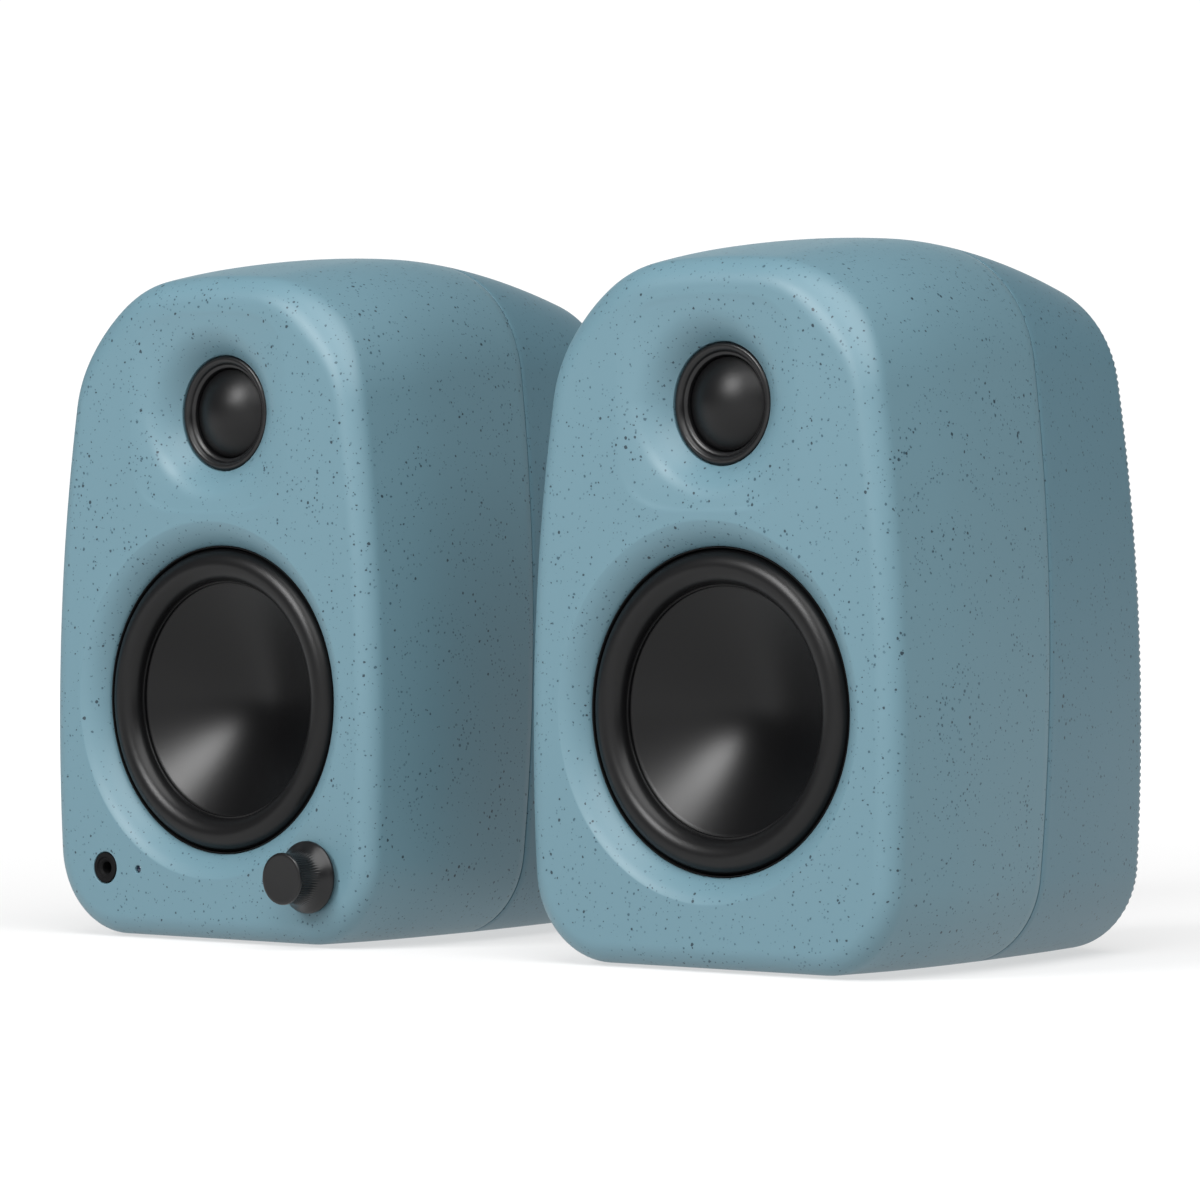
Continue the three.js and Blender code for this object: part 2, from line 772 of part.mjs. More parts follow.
/** Everything that both speakers have; the active one's front has holes for its controls. */
function speaker(side, x, active) {
  const group = new THREE.Group();
  const shift = (KNOB.reach - CABINET.depth - RCA_REACH) / 2; // puts the bounding box's middle at y = 0
  group.position.set(x, shift, 0);
  const add = (name, shape, material) => addTo(group, side + "_" + name, shape, material);
  add("front_shell", frontShell(active), MATERIAL.shell);
  add("rear_shell", rearShell(), MATERIAL.shell);
  add("shell_gasket", shellGasket(), MATERIAL.rubber);
  add("front_foot_pad", footPad(FRONT_PAD), MATERIAL.rubber);
  add("rear_foot_pad", footPad(REAR_PAD), MATERIAL.rubber);
  SCREWS.forEach((spot, k) => add("case_screw_" + (k + 1), caseScrew(spot), MATERIAL.blackSteel));
  add("port_tube", portTube(), MATERIAL.blackPlastic);
  add("woofer_basket", wooferBasket(), MATERIAL.blackSteel);
  add("woofer_surround", surround(), MATERIAL.rubber);
  add("woofer_cone", cone(), MATERIAL.cone);
  add("woofer_voice_coil", voiceCoil(), MATERIAL.copper);
  add("woofer_spider", spider(), MATERIAL.spider);
  add("woofer_magnet", wooferMagnet(), MATERIAL.ferrite);
  add("tweeter_ring", tweeterRing(), MATERIAL.blackPlastic);
  add("tweeter_dome", tweeterDome(), MATERIAL.silk);
  add("tweeter_magnet", tweeterMagnet(), MATERIAL.ferrite);
  add("back_panel", backPanel(active), MATERIAL.blackPlastic);
  pair.add(group);
  return add;
}

const addLeft = speaker("left", -PAIR_PITCH / 2, true);
addLeft("link_socket", linkSocket(SPOTS.linkActive), MATERIAL.blackPlastic);
addLeft("volume_encoder", volumeEncoder(), MATERIAL.steel);
addLeft("encoder_plunger", encoderPlunger(), MATERIAL.steel);
addLeft("volume_shaft", volumeShaft(), MATERIAL.steel);
addLeft("volume_knob", volumeKnob(), MATERIAL.blackPlastic);
addLeft("headphone_jack", headphoneJack(), MATERIAL.blackPlastic);
addLeft("status_light", statusLight(), MATERIAL.lens);
addLeft("usb_socket", usbSocket(), MATERIAL.steel);
addLeft("phono_socket_upper", phonoSocket(SPOTS.phonoUpper), MATERIAL.gold);
addLeft("phono_socket_lower", phonoSocket(SPOTS.phonoLower), MATERIAL.gold);
addLeft("power_inlet", powerInlet(), MATERIAL.blackPlastic);
addLeft("amplifier_board", amplifierBoard(), MATERIAL.board);

const addRight = speaker("right", PAIR_PITCH / 2, false);
addRight("link_socket", linkSocket(SPOTS.linkPassive), MATERIAL.blackPlastic);
addRight("crossover_board", crossoverBoard(), MATERIAL.board);

export default pair;
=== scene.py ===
"""A pair of speckled desktop speakers: the visual pieces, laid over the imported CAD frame.

Each speaker is drawn in its own frame in millimetres, as the CAD part is: x = 0 on its centre
line, y = 0 on the front face and growing to the back, z = 0 on the desk.
"""

import math

import bmesh
import bpy
import numpy as np
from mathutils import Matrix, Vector
from mathutils.geometry import delaunay_2d_cdt


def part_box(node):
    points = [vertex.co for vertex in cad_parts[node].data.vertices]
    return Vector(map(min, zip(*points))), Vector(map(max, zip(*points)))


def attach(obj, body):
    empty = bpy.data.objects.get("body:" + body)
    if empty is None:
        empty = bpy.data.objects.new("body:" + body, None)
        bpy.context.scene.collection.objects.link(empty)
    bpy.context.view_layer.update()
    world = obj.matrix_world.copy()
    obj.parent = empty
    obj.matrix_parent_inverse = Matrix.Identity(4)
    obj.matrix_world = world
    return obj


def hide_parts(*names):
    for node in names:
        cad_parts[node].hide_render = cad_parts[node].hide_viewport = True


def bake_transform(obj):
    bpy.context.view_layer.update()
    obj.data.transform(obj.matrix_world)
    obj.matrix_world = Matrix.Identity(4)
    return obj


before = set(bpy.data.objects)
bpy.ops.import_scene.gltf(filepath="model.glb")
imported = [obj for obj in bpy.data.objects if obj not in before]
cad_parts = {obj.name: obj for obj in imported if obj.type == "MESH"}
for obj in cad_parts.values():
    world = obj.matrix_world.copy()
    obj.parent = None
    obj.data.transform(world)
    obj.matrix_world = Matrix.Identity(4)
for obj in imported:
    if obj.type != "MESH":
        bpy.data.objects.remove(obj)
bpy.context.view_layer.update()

MM = 0.001
SIDES = ("left", "right")
ROUND = 192  # segments of the large round pieces
SMALL_ROUND = 96
TINY_ROUND = 48


# ---- Places, from the frame ----
def origin_of(side):
    """The point of the row frame, in mm, that is the zero of this speaker's own frame."""
    low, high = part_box(side + "_tweeter_ring")
    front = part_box(side + "_front_shell")[0].y
    return np.array([(low.x + high.x) / 2, front, 0.0]) / MM


ORIGIN = {side: origin_of(side) for side in SIDES}


def low_and_high(side, name):
    """Lowest and highest corner of one of this speaker's CAD nodes, in the speaker's frame."""
    low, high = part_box(side + "_" + name)
    return np.array(low) / MM - ORIGIN[side], np.array(high) / MM - ORIGIN[side]


def centre_of(side, name):
    """(x, z) of the middle of one of this speaker's CAD nodes."""
    low, high = low_and_high(side, name)
    middle = (low + high) / 2
    return middle[0], middle[2]


DEPTH = low_and_high("left", "rear_shell")[1][1]
HEIGHT = low_and_high("left", "front_shell")[1][2]
BASE = low_and_high("left", "front_shell")[0][2]
WOOFER_Z = centre_of("left", "woofer_basket")[1]
TWEETER_Z = centre_of("left", "tweeter_ring")[1]

# ---- The cabinet's form ----
HALF_WIDTH = 67.2
WIDEST_Z = 64.7
SIDE_RADIUS = 621.8
TOP_CORNER = 44.05
CROWN_RADIUS = 230.5
BOTTOM_CORNER = 26.16
CREST_AT = 0.439  # share of the depth where the crown is highest
CROWN_DROP = 37.28
CROWN_POWER = 1.79
WIDEST_AT = 0.197  # share of the depth where the plan view is widest
SIDE_TAPER = 25.79
TAPER_POWER = 1.55
FRONT_FILLET = 6.2
TOP_FILLET = 6.8  # the front edge is rounder toward the top
SHOULDER_FILLET = 2.6  # and rounder still at the top corners
BACK_FILLET = 12.0
WALL = 4.0
FRONT_WALL = 4.6
BOSS_BACK = 12.0
LIP = 2.0
SEAM_Y = 76.5
SEAM_Z = 94.6
SEAM_LEAN = 0.064
SEAM_GAP = 0.4
EDGE = 0.3  # radius of small broken edges
CLEAR = 0.3
RIB_PITCH = 1.95
RIB_DEPTH = 0.55


def srgb(red, green, blue):
    """A linear colour from 0..255 display values."""
    values = np.array([red, green, blue]) / 255
    linear = np.where(values < 0.04045, values / 12.92, ((values + 0.055) / 1.055) ** 2.4)
    return (*linear, 1.0)


def smooth(value, low, high):
    """0 at low, 1 at high, and a smooth step between them."""
    share = np.clip((np.asarray(value, float) - low) / (high - low), 0, 1)
    return share * share * (3 - 2 * share)


# ---- Camera ----
def make_camera():
    low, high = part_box("right_woofer_basket")
    target = Vector(((low.x + high.x) / 2, low.y, (low.z + high.z) / 2))
    data = bpy.data.cameras.new("camera")
    data.lens = 174.9
    data.sensor_width = 36
    data.clip_start = 0.05
    data.clip_end = 100
    camera = bpy.data.objects.new("camera", data)
    camera.location = target + Vector((1.0105, -1.2530, 0.0477))
    camera.rotation_euler = (math.radians(90 - 0.596), 0, math.radians(40.05))
    bpy.context.scene.collection.objects.link(camera)
    bpy.context.scene.camera = camera


# ---- Materials ----
def new_material(name, colour, roughness, metallic=0.0, specular=0.5):
    material = bpy.data.materials.new(name)
    material.use_nodes = True
    shader = material.node_tree.nodes["Principled BSDF"]
    shader.inputs["Base Color"].default_value = colour
    shader.inputs["Roughness"].default_value = roughness
    shader.inputs["Metallic"].default_value = metallic
    shader.inputs["Specular IOR Level"].default_value = specular
    return material


def add_node(owner, kind, **settings):
    """A new shader node of a material or a world."""
    node = owner.node_tree.nodes.new(kind)
    for key, value in settings.items():
        setattr(node, key, value)
    return node


def link(owner, source, target):
    owner.node_tree.links.new(source, target)


def remap(owner, value, low, high, start=0.0, end=1.0, kind="LINEAR"):
    """Turns low..high of a value into start..end."""
    node = add_node(owner, "ShaderNodeMapRange", interpolation_type=kind)
    ends = {"From Min": low, "From Max": high, "To Min": start, "To Max": end}
    for name, number in ends.items():
        node.inputs[name].default_value = number
    link(owner, value, node.inputs["Value"])
    return node.outputs["Result"]


def shader_of(material):
    return material.node_tree.nodes["Principled BSDF"]


def object_coordinates(material):
    return add_node(material, "ShaderNodeTexCoord").outputs["Object"]


def noise(material, vector, scale, detail=2.0, roughness=0.5):
    node = add_node(material, "ShaderNodeTexNoise")
    node.inputs["Scale"].default_value = scale
    node.inputs["Detail"].default_value = detail
    node.inputs["Roughness"].default_value = roughness
    link(material, vector, node.inputs["Vector"])
    return node


def bump(material, height, strength, distance):
    node = add_node(material, "ShaderNodeBump")
    node.inputs["Strength"].default_value = strength
    node.inputs["Distance"].default_value = distance
    link(material, height, node.inputs["Height"])
    link(material, node.outputs["Normal"], shader_of(material).inputs["Normal"])


def moulded(name, colour, roughness, specular, size, strength):
    """A plain material with a fine moulded grain; size is the grain in mm."""
    material = new_material(name, colour, roughness, specular=specular)
    height = noise(material, object_coordinates(material), 1 / (size * MM), 3.0)
    bump(material, height.outputs["Fac"], strength, 0.0001)
    return material


def worn(name, colour, metallic, size, low, high):
    """A material whose roughness wanders from low to high over patches of this size in mm."""
    material = new_material(name, colour, (low + high) / 2, metallic)
    patches = noise(material, object_coordinates(material), 1 / (size * MM), 3.0)
    gloss = remap(material, patches.outputs["Fac"], 0.3, 0.7, low, high)
    link(material, gloss, shader_of(material).inputs["Roughness"])
    return material


def flecks(material, vector, density, seed, cell, share, size):
    """How much a fleck covers each point: cell in mm, share of cells with one, size in cells."""
    shift = add_node(material, "ShaderNodeMapping")
    shift.inputs["Location"].default_value = (seed * 0.0137, seed * 0.0071, seed * 0.0193)
    link(material, vector, shift.inputs["Vector"])
    cells = add_node(material, "ShaderNodeTexVoronoi")
    cells.inputs["Scale"].default_value = 1 / (cell * MM)
    link(material, shift.outputs["Vector"], cells.inputs["Vector"])
    pick = add_node(material, "ShaderNodeSeparateColor")
    link(material, cells.outputs["Color"], pick.inputs["Color"])
    chance = add_node(material, "ShaderNodeMath", operation="MULTIPLY")
    link(material, pick.outputs["Red"], chance.inputs[0])
    link(material, density, chance.inputs[1])
    radius = remap(material, chance.outputs["Value"], 1 - share, 1.0, 0.0, size)
    inside = add_node(material, "ShaderNodeMath", operation="SUBTRACT")
    link(material, radius, inside.inputs[0])
    link(material, cells.outputs["Distance"], inside.inputs[1])
    return remap(material, inside.outputs["Value"], -0.01, 0.04, kind="SMOOTHSTEP")


def tint(material, below, cover, colour):
    """Mixes a fleck's colour over what is below it."""
    mix = add_node(material, "ShaderNodeMix", data_type="RGBA")
    link(material, cover, mix.inputs["Factor"])
    mix.inputs["B"].default_value = colour
    if isinstance(below, tuple):
        mix.inputs["A"].default_value = below
    else:
        link(material, below, mix.inputs["A"])
    return mix.outputs["Result"]


def shell_material(name, base):
    """Satin blue plastic with irregular dark flecks in loose clusters."""
    material = new_material(name, base, 0.44, specular=0.42)
    place = object_coordinates(material)
    warp = noise(material, place, 1 / (0.9 * MM), 2.0)
    bend = add_node(material, "ShaderNodeVectorMath", operation="MULTIPLY_ADD")
    link(material, warp.outputs["Color"], bend.inputs[0])
    bend.inputs[1].default_value = (0.7 * MM,) * 3
    link(material, place, bend.inputs[2])
    bent = bend.outputs["Vector"]
    clusters = noise(material, place, 1 / (16 * MM), 2.0)
    density = remap(material, clusters.outputs["Fac"], 0.35, 0.65, 0.8, 1.0)
    layers = [
        (1.4, 0.85, 0.30, srgb(66, 95, 107)),
        (2.0, 0.85, 0.25, srgb(46, 73, 85)),
        (1.6, 0.50, 0.26, srgb(36, 58, 70)),
        (3.0, 0.80, 0.20, srgb(28, 47, 57)),
    ]
    colour = base
    for seed, (cell, share, size, shade) in enumerate(layers):
        cover = flecks(material, bent, density, seed, cell, share, size)
        colour = tint(material, colour, cover, shade)
    link(material, colour, shader_of(material).inputs["Base Color"])
    height = noise(material, place, 1 / (0.35 * MM), 3.0)
    bump(material, height.outputs["Fac"], 0.10, 0.0001)
    return material


def weave_material():
    """Doped silk: a fine round weave under a soft sheen."""
    material = new_material("silk dome", srgb(8, 8, 9), 0.38, specular=0.28)
    wave = add_node(material, "ShaderNodeTexVoronoi", feature="DISTANCE_TO_EDGE")
    wave.inputs["Scale"].default_value = 1 / (0.32 * MM)
    link(material, object_coordinates(material), wave.inputs["Vector"])
    bump(material, wave.outputs["Distance"], 0.35, 0.00005)
    return material


def rubber_material():
    return moulded("rubber", srgb(11, 11, 12), 0.34, 0.27, 0.5, 0.03)


def foot_material():
    return moulded("foot rubber", srgb(28, 28, 29), 0.75, 0.3, 0.5, 0.3)


def gasket_material():
    return moulded("gasket", srgb(46, 64, 72), 0.7, 0.2, 0.5, 0.2)


def cone_material():
    return moulded("cone", srgb(2, 2, 3), 0.32, 0.27, 0.6, 0.06)


def plastic_material():
    return moulded("black plastic", srgb(17, 17, 18), 0.3, 0.35, 0.3, 0.08)


def matte_material():
    return moulded("matte black", srgb(10, 10, 11), 0.7, 0.12, 0.3, 0.15)


def ferrite_material():
    return worn("ferrite", srgb(62, 62, 64), 0.2, 6, 0.55, 0.85)


def copper_material():
    return worn("copper", srgb(184, 110, 60), 0.9, 3, 0.25, 0.4)


def spider_material():
    return moulded("spider cloth", srgb(140, 108, 62), 0.85, 0.3, 0.4, 0.4)


def steel_material():
    return worn("steel", srgb(150, 152, 155), 0.95, 4, 0.22, 0.38)


def black_steel_material():
    return worn("black steel", srgb(44, 45, 47), 0.5, 5, 0.3, 0.48)


def board_material():
    return worn("circuit board", srgb(32, 80, 58), 0.0, 5, 0.35, 0.55)


def gold_material():
    return worn("gold plating", srgb(206, 166, 84), 0.95, 3, 0.18, 0.32)


def lens_material():
    return new_material("light lens", srgb(14, 24, 44), 0.12, specular=0.6)


MATERIAL = {
    "front_shell": shell_material("front shell", srgb(89, 119, 130)),
    # The rear shell's base is darker than the front's: painted shade for the back half, which turns
    # away from the lights, together with a tone step at the seam.
    "rear_shell": shell_material("rear shell with painted shade", srgb(79, 110, 122)),
    "rubber": rubber_material(),
    "foot": foot_material(),
    "gasket": gasket_material(),
    "cone": cone_material(),
    "silk": weave_material(),
    "black_plastic": plastic_material(),
    "matte": matte_material(),
    "black_steel": black_steel_material(),
    "ferrite": ferrite_material(),
    "copper": copper_material(),
    "spider": spider_material(),
    "steel": steel_material(),
    "board": board_material(),
    "gold": gold_material(),
    "lens": lens_material(),
}


# ---- Mesh building ----
class Skin:
    """Collects rings and patches of points, in mm, into one closed mesh."""

    def __init__(self):
        self.points = []
        self.faces = []

    def add(self, points):
        """Adds points and gives their numbers."""
        start = len(self.points)
        self.points.extend(map(tuple, points))
        return np.arange(start, len(self.points))

    def bridge(self, first, second):
        """Joins two closed rings of equally many points."""
        after = np.roll(first, -1), np.roll(second, -1)
        self.faces.extend(np.stack([first, after[0], after[1], second], 1).tolist())

    def chain(self, ring, *rings):
        """Adds rings one after the other, starting from a ring of point numbers."""
        for points in rings:
            following = self.add(points)
            self.bridge(ring, following)
            ring = following
        return ring

    def patch(self, border, holes=(), spots=None, height=None):
        """Fills the x-z region inside a border ring and outside the hole rings.

        spots are extra (x, z) points inside it, and height gives y for each of them."""
        loops = [border, *holes]
        numbers = np.concatenate(loops)
        if spots is not None and len(spots):
            spots = np.asarray(spots)
            extra = np.column_stack([spots[:, 0], height(spots[:, 0], spots[:, 1]), spots[:, 1]])
            numbers = np.concatenate([numbers, self.add(extra)])
        flat = np.array([self.points[i] for i in numbers])[:, [0, 2]]
        edges = []
        start = 0
        for loop in loops:
            count = len(loop)
            edges += [(start + i, start + (i + 1) % count) for i in range(count)]
            start += count
        vertices = [Vector(p) for p in flat]
        made = delaunay_2d_cdt(vertices, edges, [], 0, 1e-6, True)
        triangles = np.array([face for face in made[2] if len(face) == 3])
        source = np.array([ids[0] for ids in made[3]])
        centres = np.array(made[0])[triangles].mean(1)
        keep = inside_polygon(centres, flat[: len(border)])
        start = len(border)
        for hole in holes:
            keep &= ~inside_polygon(centres, flat[start : start + len(hole)])
            start += len(hole)
        self.faces.extend(numbers[source[triangles[keep]]].tolist())

    def cap(self, ring):
        """Closes a ring with one face."""
        self.faces.append(list(map(int, ring)))

    def finish(self, side, name, body, slot, material, sharp=35):
        """The mesh as an object on that body, standing for the CAD node side_name."""
        mesh = bpy.data.meshes.new("fine_" + side + "_" + name)
        world = (np.array(self.points) + ORIGIN[side]) * MM
        mesh.from_pydata(world.tolist(), [], self.faces)
        work = bmesh.new()
        work.from_mesh(mesh)
        bmesh.ops.remove_doubles(work, verts=work.verts, dist=1e-6)
        loose = [v for v in work.verts if not v.link_faces]
        bmesh.ops.delete(work, geom=loose, context="VERTS")
        bmesh.ops.recalc_face_normals(work, faces=work.faces)
        work.to_mesh(mesh)
        work.free()
        mesh.shade_smooth()
        mesh.set_sharp_from_angle(angle=math.radians(sharp))
        mesh.materials.append(material)
        piece = bpy.data.objects.new(mesh.name, mesh)
        bpy.context.scene.collection.objects.link(piece)
        if body:
            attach(piece, body)
        return piece


def inside_polygon(points, polygon):
    """Which of the points lie inside a closed polygon."""
    x, z = points[:, 0], points[:, 1]
    inside = np.zeros(len(points), bool)
    for (x0, z0), (x1, z1) in zip(polygon, np.roll(polygon, -1, 0)):
        if z0 == z1:
            continue
        crosses = (z0 > z) != (z1 > z)
        inside ^= crosses & (x < (x1 - x0) * (z - z0) / (z1 - z0) + x0)
    return inside


def circle(radius, y, x=0.0, z=0.0, count=ROUND):
    angles = np.arange(count) * 2 * math.pi / count
    return np.column_stack(
        [x + radius * np.cos(angles), np.full(count, float(y)), z + radius * np.sin(angles)]
    )


def rounded_rectangle(width, height, corner, y, x=0.0, z=0.0, steps=8, straight=6):
    """A ring round a rectangle that faces the front or the back."""
    points = []
    for quarter, (sx, sz) in enumerate([(1, 1), (-1, 1), (-1, -1), (1, -1)]):
        centre = np.array([sx * (width / 2 - corner), sz * (height / 2 - corner)])
        angles = (quarter + np.linspace(0, 1, steps + 1)) * math.pi / 2
        points.append(centre + corner * np.column_stack([np.cos(angles), np.sin(angles)]))
    whole = []
    for arc, following in zip(points, points[1:] + points[:1]):
        shares = np.linspace(0, 1, straight + 1)[1:-1, None]
        whole += [arc, arc[-1] + (following[0] - arc[-1]) * shares]
    flat = np.concatenate(whole)
    return np.column_stack([x + flat[:, 0], np.full(len(flat), float(y)), z + flat[:, 1]])


def softened(profile, radius, steps=4):
    """Rounds the corners of a closed profile of (r, y) points; points on the axis stay."""
    points = np.array(profile, float)
    result = []
    for before, here, after in zip(np.roll(points, 1, 0), points, np.roll(points, -1, 0)):
        back, ahead = before - here, after - here
        lengths = np.hypot(*back), np.hypot(*ahead)
        turn = np.dot(back, ahead) / (lengths[0] * lengths[1] + 1e-12)
        if here[0] < 1e-6 or turn < -0.985:
            result.append(here)
            continue
        reach = min(radius, 0.45 * lengths[0], 0.45 * lengths[1])
        start = here + back / lengths[0] * reach
        end = here + ahead / lengths[1] * reach
        for k in range(steps + 1):
            t = k / steps
            result.append((1 - t) ** 2 * start + 2 * t * (1 - t) * here + t * t * end)
    return np.array(result)


def lathe(profile, x, z, count=ROUND, flutes=0, depths=None):
    """A closed solid of revolution; its flutes are as deep as depths says at each profile point."""
    skin = Skin()
    angles = np.arange(count) * 2 * math.pi / count
    rings = []
    for k, (radius, y) in enumerate(profile):
        cut = 0.0 if depths is None else depths[k]
        radii = radius - cut * (0.5 - 0.5 * np.cos(flutes * angles))
        across = radii * np.cos(angles)
        up = radii * np.sin(angles)
        rings.append(skin.add(np.column_stack([x + across, np.full(count, y), z + up])))
    for first, second in zip(rings, rings[1:] + rings[:1]):
        skin.bridge(first, second)
    return skin


# ---- The cabinet's outline ----
def ring_marks(foot, side, shoulder, crown, floor):
    """Where a ring's points lie: the outline's stretch, the share along it, and its side."""
    right = [(k, i / n, 1) for k, n in enumerate((foot, side, shoulder, crown)) for i in range(n)]
    left = [(k, t, -1) for k, t, _ in reversed(right)]
    bottom = [(4, i / floor, 1) for i in range(1, floor)]
    marks = np.array([*right, (3, 1.0, 1), *left, *bottom])
    return marks[:, 0].astype(int), marks[:, 1], marks[:, 2]


def meeting(side_x, side_z, side_reach, crown_z, crown_reach):
    """Where circles about the side's and the crown's centres meet, on the right."""
    dx, dz = -side_x, crown_z - side_z
    apart = np.hypot(dx, dz)
    along = (side_reach**2 - crown_reach**2 + apart**2) / (2 * apart)
    off = np.sqrt(side_reach**2 - along**2)
    first = side_x + (along * dx - off * dz) / apart, side_z + (along * dz + off * dx) / apart
    second = side_x + (along * dx + off * dz) / apart, side_z + (along * dz - off * dx) / apart
    right = first[0] > second[0]
    return np.where(right, first[0], second[0]), np.where(right, first[1], second[1])


def outline(y, inset, marks):
    """x, z and outward angle of the cabinet's section at depth y, shrunk by inset, at each mark."""
    stretch, along, mirror = marks
    y = np.broadcast_to(np.asarray(y, float), along.shape)
    share = y / DEPTH
    half = HALF_WIDTH - SIDE_TAPER * np.abs(share - WIDEST_AT) ** TAPER_POWER
    top = HEIGHT - BASE - CROWN_DROP * np.abs(share - CREST_AT) ** CROWN_POWER
    corner = TOP_CORNER * half / HALF_WIDTH
    widest = WIDEST_Z - BASE
    side_x = half - SIDE_RADIUS
    crown_z = top - CROWN_RADIUS
    shoulder_x, shoulder_z = meeting(
        side_x, widest, SIDE_RADIUS - corner, crown_z, CROWN_RADIUS - corner
    )
    reach = math.sqrt((SIDE_RADIUS - BOTTOM_CORNER) ** 2 - (BOTTOM_CORNER - widest) ** 2)
    foot_x = side_x + reach
    low = np.arctan2(BOTTOM_CORNER - widest, foot_x - side_x)
    middle = np.arctan2(shoulder_z - widest, shoulder_x - side_x)
    high = np.arctan2(shoulder_z - crown_z, shoulder_x)
    right_angle = np.full_like(half, math.pi / 2)
    zero = np.zeros_like(half)

    def pick(*choices):
        return np.choose(stretch, choices)

    centre_x = pick(foot_x, side_x, shoulder_x, zero, zero)
    centre_z = pick(zero + BOTTOM_CORNER, zero + widest, shoulder_z, crown_z, zero)
    radius = pick(zero + BOTTOM_CORNER, zero + SIDE_RADIUS, corner, zero + CROWN_RADIUS, zero)
    start = pick(-right_angle, low, middle, high, -right_angle)
    end = pick(low, middle, high, right_angle, -right_angle)
    angle = start + (end - start) * along
    x = centre_x + (radius - inset) * np.cos(angle)
    z = centre_z + (radius - inset) * np.sin(angle)
    floor = stretch == 4
    x = np.where(floor, foot_x * (2 * along - 1), x)
    z = np.where(floor, inset, z)
    return x * mirror, z + BASE, np.where(mirror > 0, angle, math.pi - angle)


def seam_at(z, offset=0.0):
    return SEAM_Y + SEAM_LEAN * (z - SEAM_Z) + offset


def ring(depth, inset, marks):
    """A ring on the cabinet; depth is a y or a function of z, inset an amount or one per point."""
    if not callable(depth):
        x, z, _ = outline(depth, inset, marks)
        return np.column_stack([x, np.broadcast_to(depth, x.shape), z])
    z = np.full(marks[1].shape, SEAM_Z)
    for _ in range(4):
        x, z, _ = outline(depth(z), inset, marks)
    return np.column_stack([x, depth(z), z])


def toward_seam(y, share):
    """A depth that runs from y, a number or one per point, to the seam."""
    return lambda z: y + (seam_at(z) - y) * share


def seam_plus(offset):
    return lambda z: seam_at(z, offset)


# ---- Front shell ----
RECESS = 53.0
RECESS_DEPTH = 6.2
BASKET_HOLE = 45.9
DISH_HALF = (33.0, 30.7)
DISH_DEPTH = 7.5
VALLEY_DEPTH = 3.8
BOWL_WIDTH = 10.0
DISH_THROAT = 17.3
FRONT_MARKS = ring_marks(20, 44, 40, 30, 24)
CONTROL_HOLES = [  # x, z, radius and edge
    (*centre_of("left", "volume_knob"), 4.8, EDGE),
    (*centre_of("left", "headphone_jack"), 4.8, EDGE),
    (*centre_of("left", "status_light"), 1.2, 0.1),
]


def front_fillet(marks):
    """The radius of the front edge at each mark."""
    x, z, outward = outline(0, 6, marks)
    corner = np.exp(-(((np.abs(outward - math.pi / 2) - 0.75) / 0.4) ** 2)) * smooth(z, 110, 160)
    upper = (TOP_FILLET - FRONT_FILLET) * smooth(z, 110, 190)
    return FRONT_FILLET + upper + SHOULDER_FILLET * corner


def recess_rings():
    """From the flat face down to the woofer's ring: a crisp rim, then steeper and steeper."""
    rings = [circle(RECESS + 0.6, 0, z=WOOFER_Z), circle(RECESS + 0.2, 0, z=WOOFER_Z)]
    rings.append(circle(RECESS, 0.03, z=WOOFER_Z))
    for t in np.linspace(0.03, 1, 18):
        depth = RECESS_DEPTH * (0.42 * t + 0.58 * t**2.4)
        rings.append(circle(RECESS - (RECESS - BASKET_HOLE) * t, depth + 0.02, z=WOOFER_Z))
    rings.append(circle(BASKET_HOLE, BOSS_BACK, z=WOOFER_Z))
    return rings


def dish_depth(x, z):
    """Depth of the tweeter's dish: a round bowl in a wide valley with straight creases."""
    radius = np.hypot(x, z)
    valley = VALLEY_DEPTH * np.clip(1 - np.abs(z) / DISH_HALF[1], 0, 1) ** 1.05
    valley = valley * (1 - smooth(np.abs(x), 12, DISH_HALF[0]))
    bowl = np.clip(1 - (radius - DISH_THROAT) / BOWL_WIDTH, 0, 1) ** 2.5
    return valley + (DISH_DEPTH - valley) * bowl


def dish_ring(share):
    """A ring of the tweeter's dish; share is 0 at the throat and 1 at the rounded-square border."""
    angles = np.arange(ROUND) * 2 * math.pi / ROUND
    across, up = np.cos(angles), np.sin(angles)
    power = 3.6  # 2 gives an ellipse, more a squarer border
    reach = np.abs(across / DISH_HALF[0]) ** power + np.abs(up / DISH_HALF[1]) ** power
    radii = DISH_THROAT + (reach ** (-1 / power) - DISH_THROAT) * share
    x, z = radii * across, radii * up
    depth = dish_depth(x, z) * (1 - smooth(share, 0.86, 1.0))
    return np.column_stack([x, depth, TWEETER_Z + z])


def dish_rings():
    shares = [1.03, 1.01, *np.linspace(1, 0, 32)]
    rings = [dish_ring(share) for share in shares]
    throat = rings[-1].copy()
    throat[:, 1] = BOSS_BACK
    return [*rings, throat]


def hole_rings(x, z, radius, edge, count=SMALL_ROUND):
    """A drilled hole through the front wall with a broken edge."""
    return [
        circle(radius + 0.8, 0, x, z, count),
        circle(radius + edge, 0, x, z, count),
        circle(radius + edge * 0.3, edge * 0.3, x, z, count),
        circle(radius, edge, x, z, count),
        circle(radius, FRONT_WALL, x, z, count),
    ]


def boss_depth(x, z):
    """Depth of the baffle's back face: thicker around both drivers."""
    woofer = np.hypot(x, z - WOOFER_Z)
    tweeter = np.hypot(x, z - TWEETER_Z)
    near = np.maximum(1 - smooth(woofer, 54.5, 56), 1 - smooth(tweeter, 33, 34.5))
    return FRONT_WALL + (BOSS_BACK - FRONT_WALL) * near


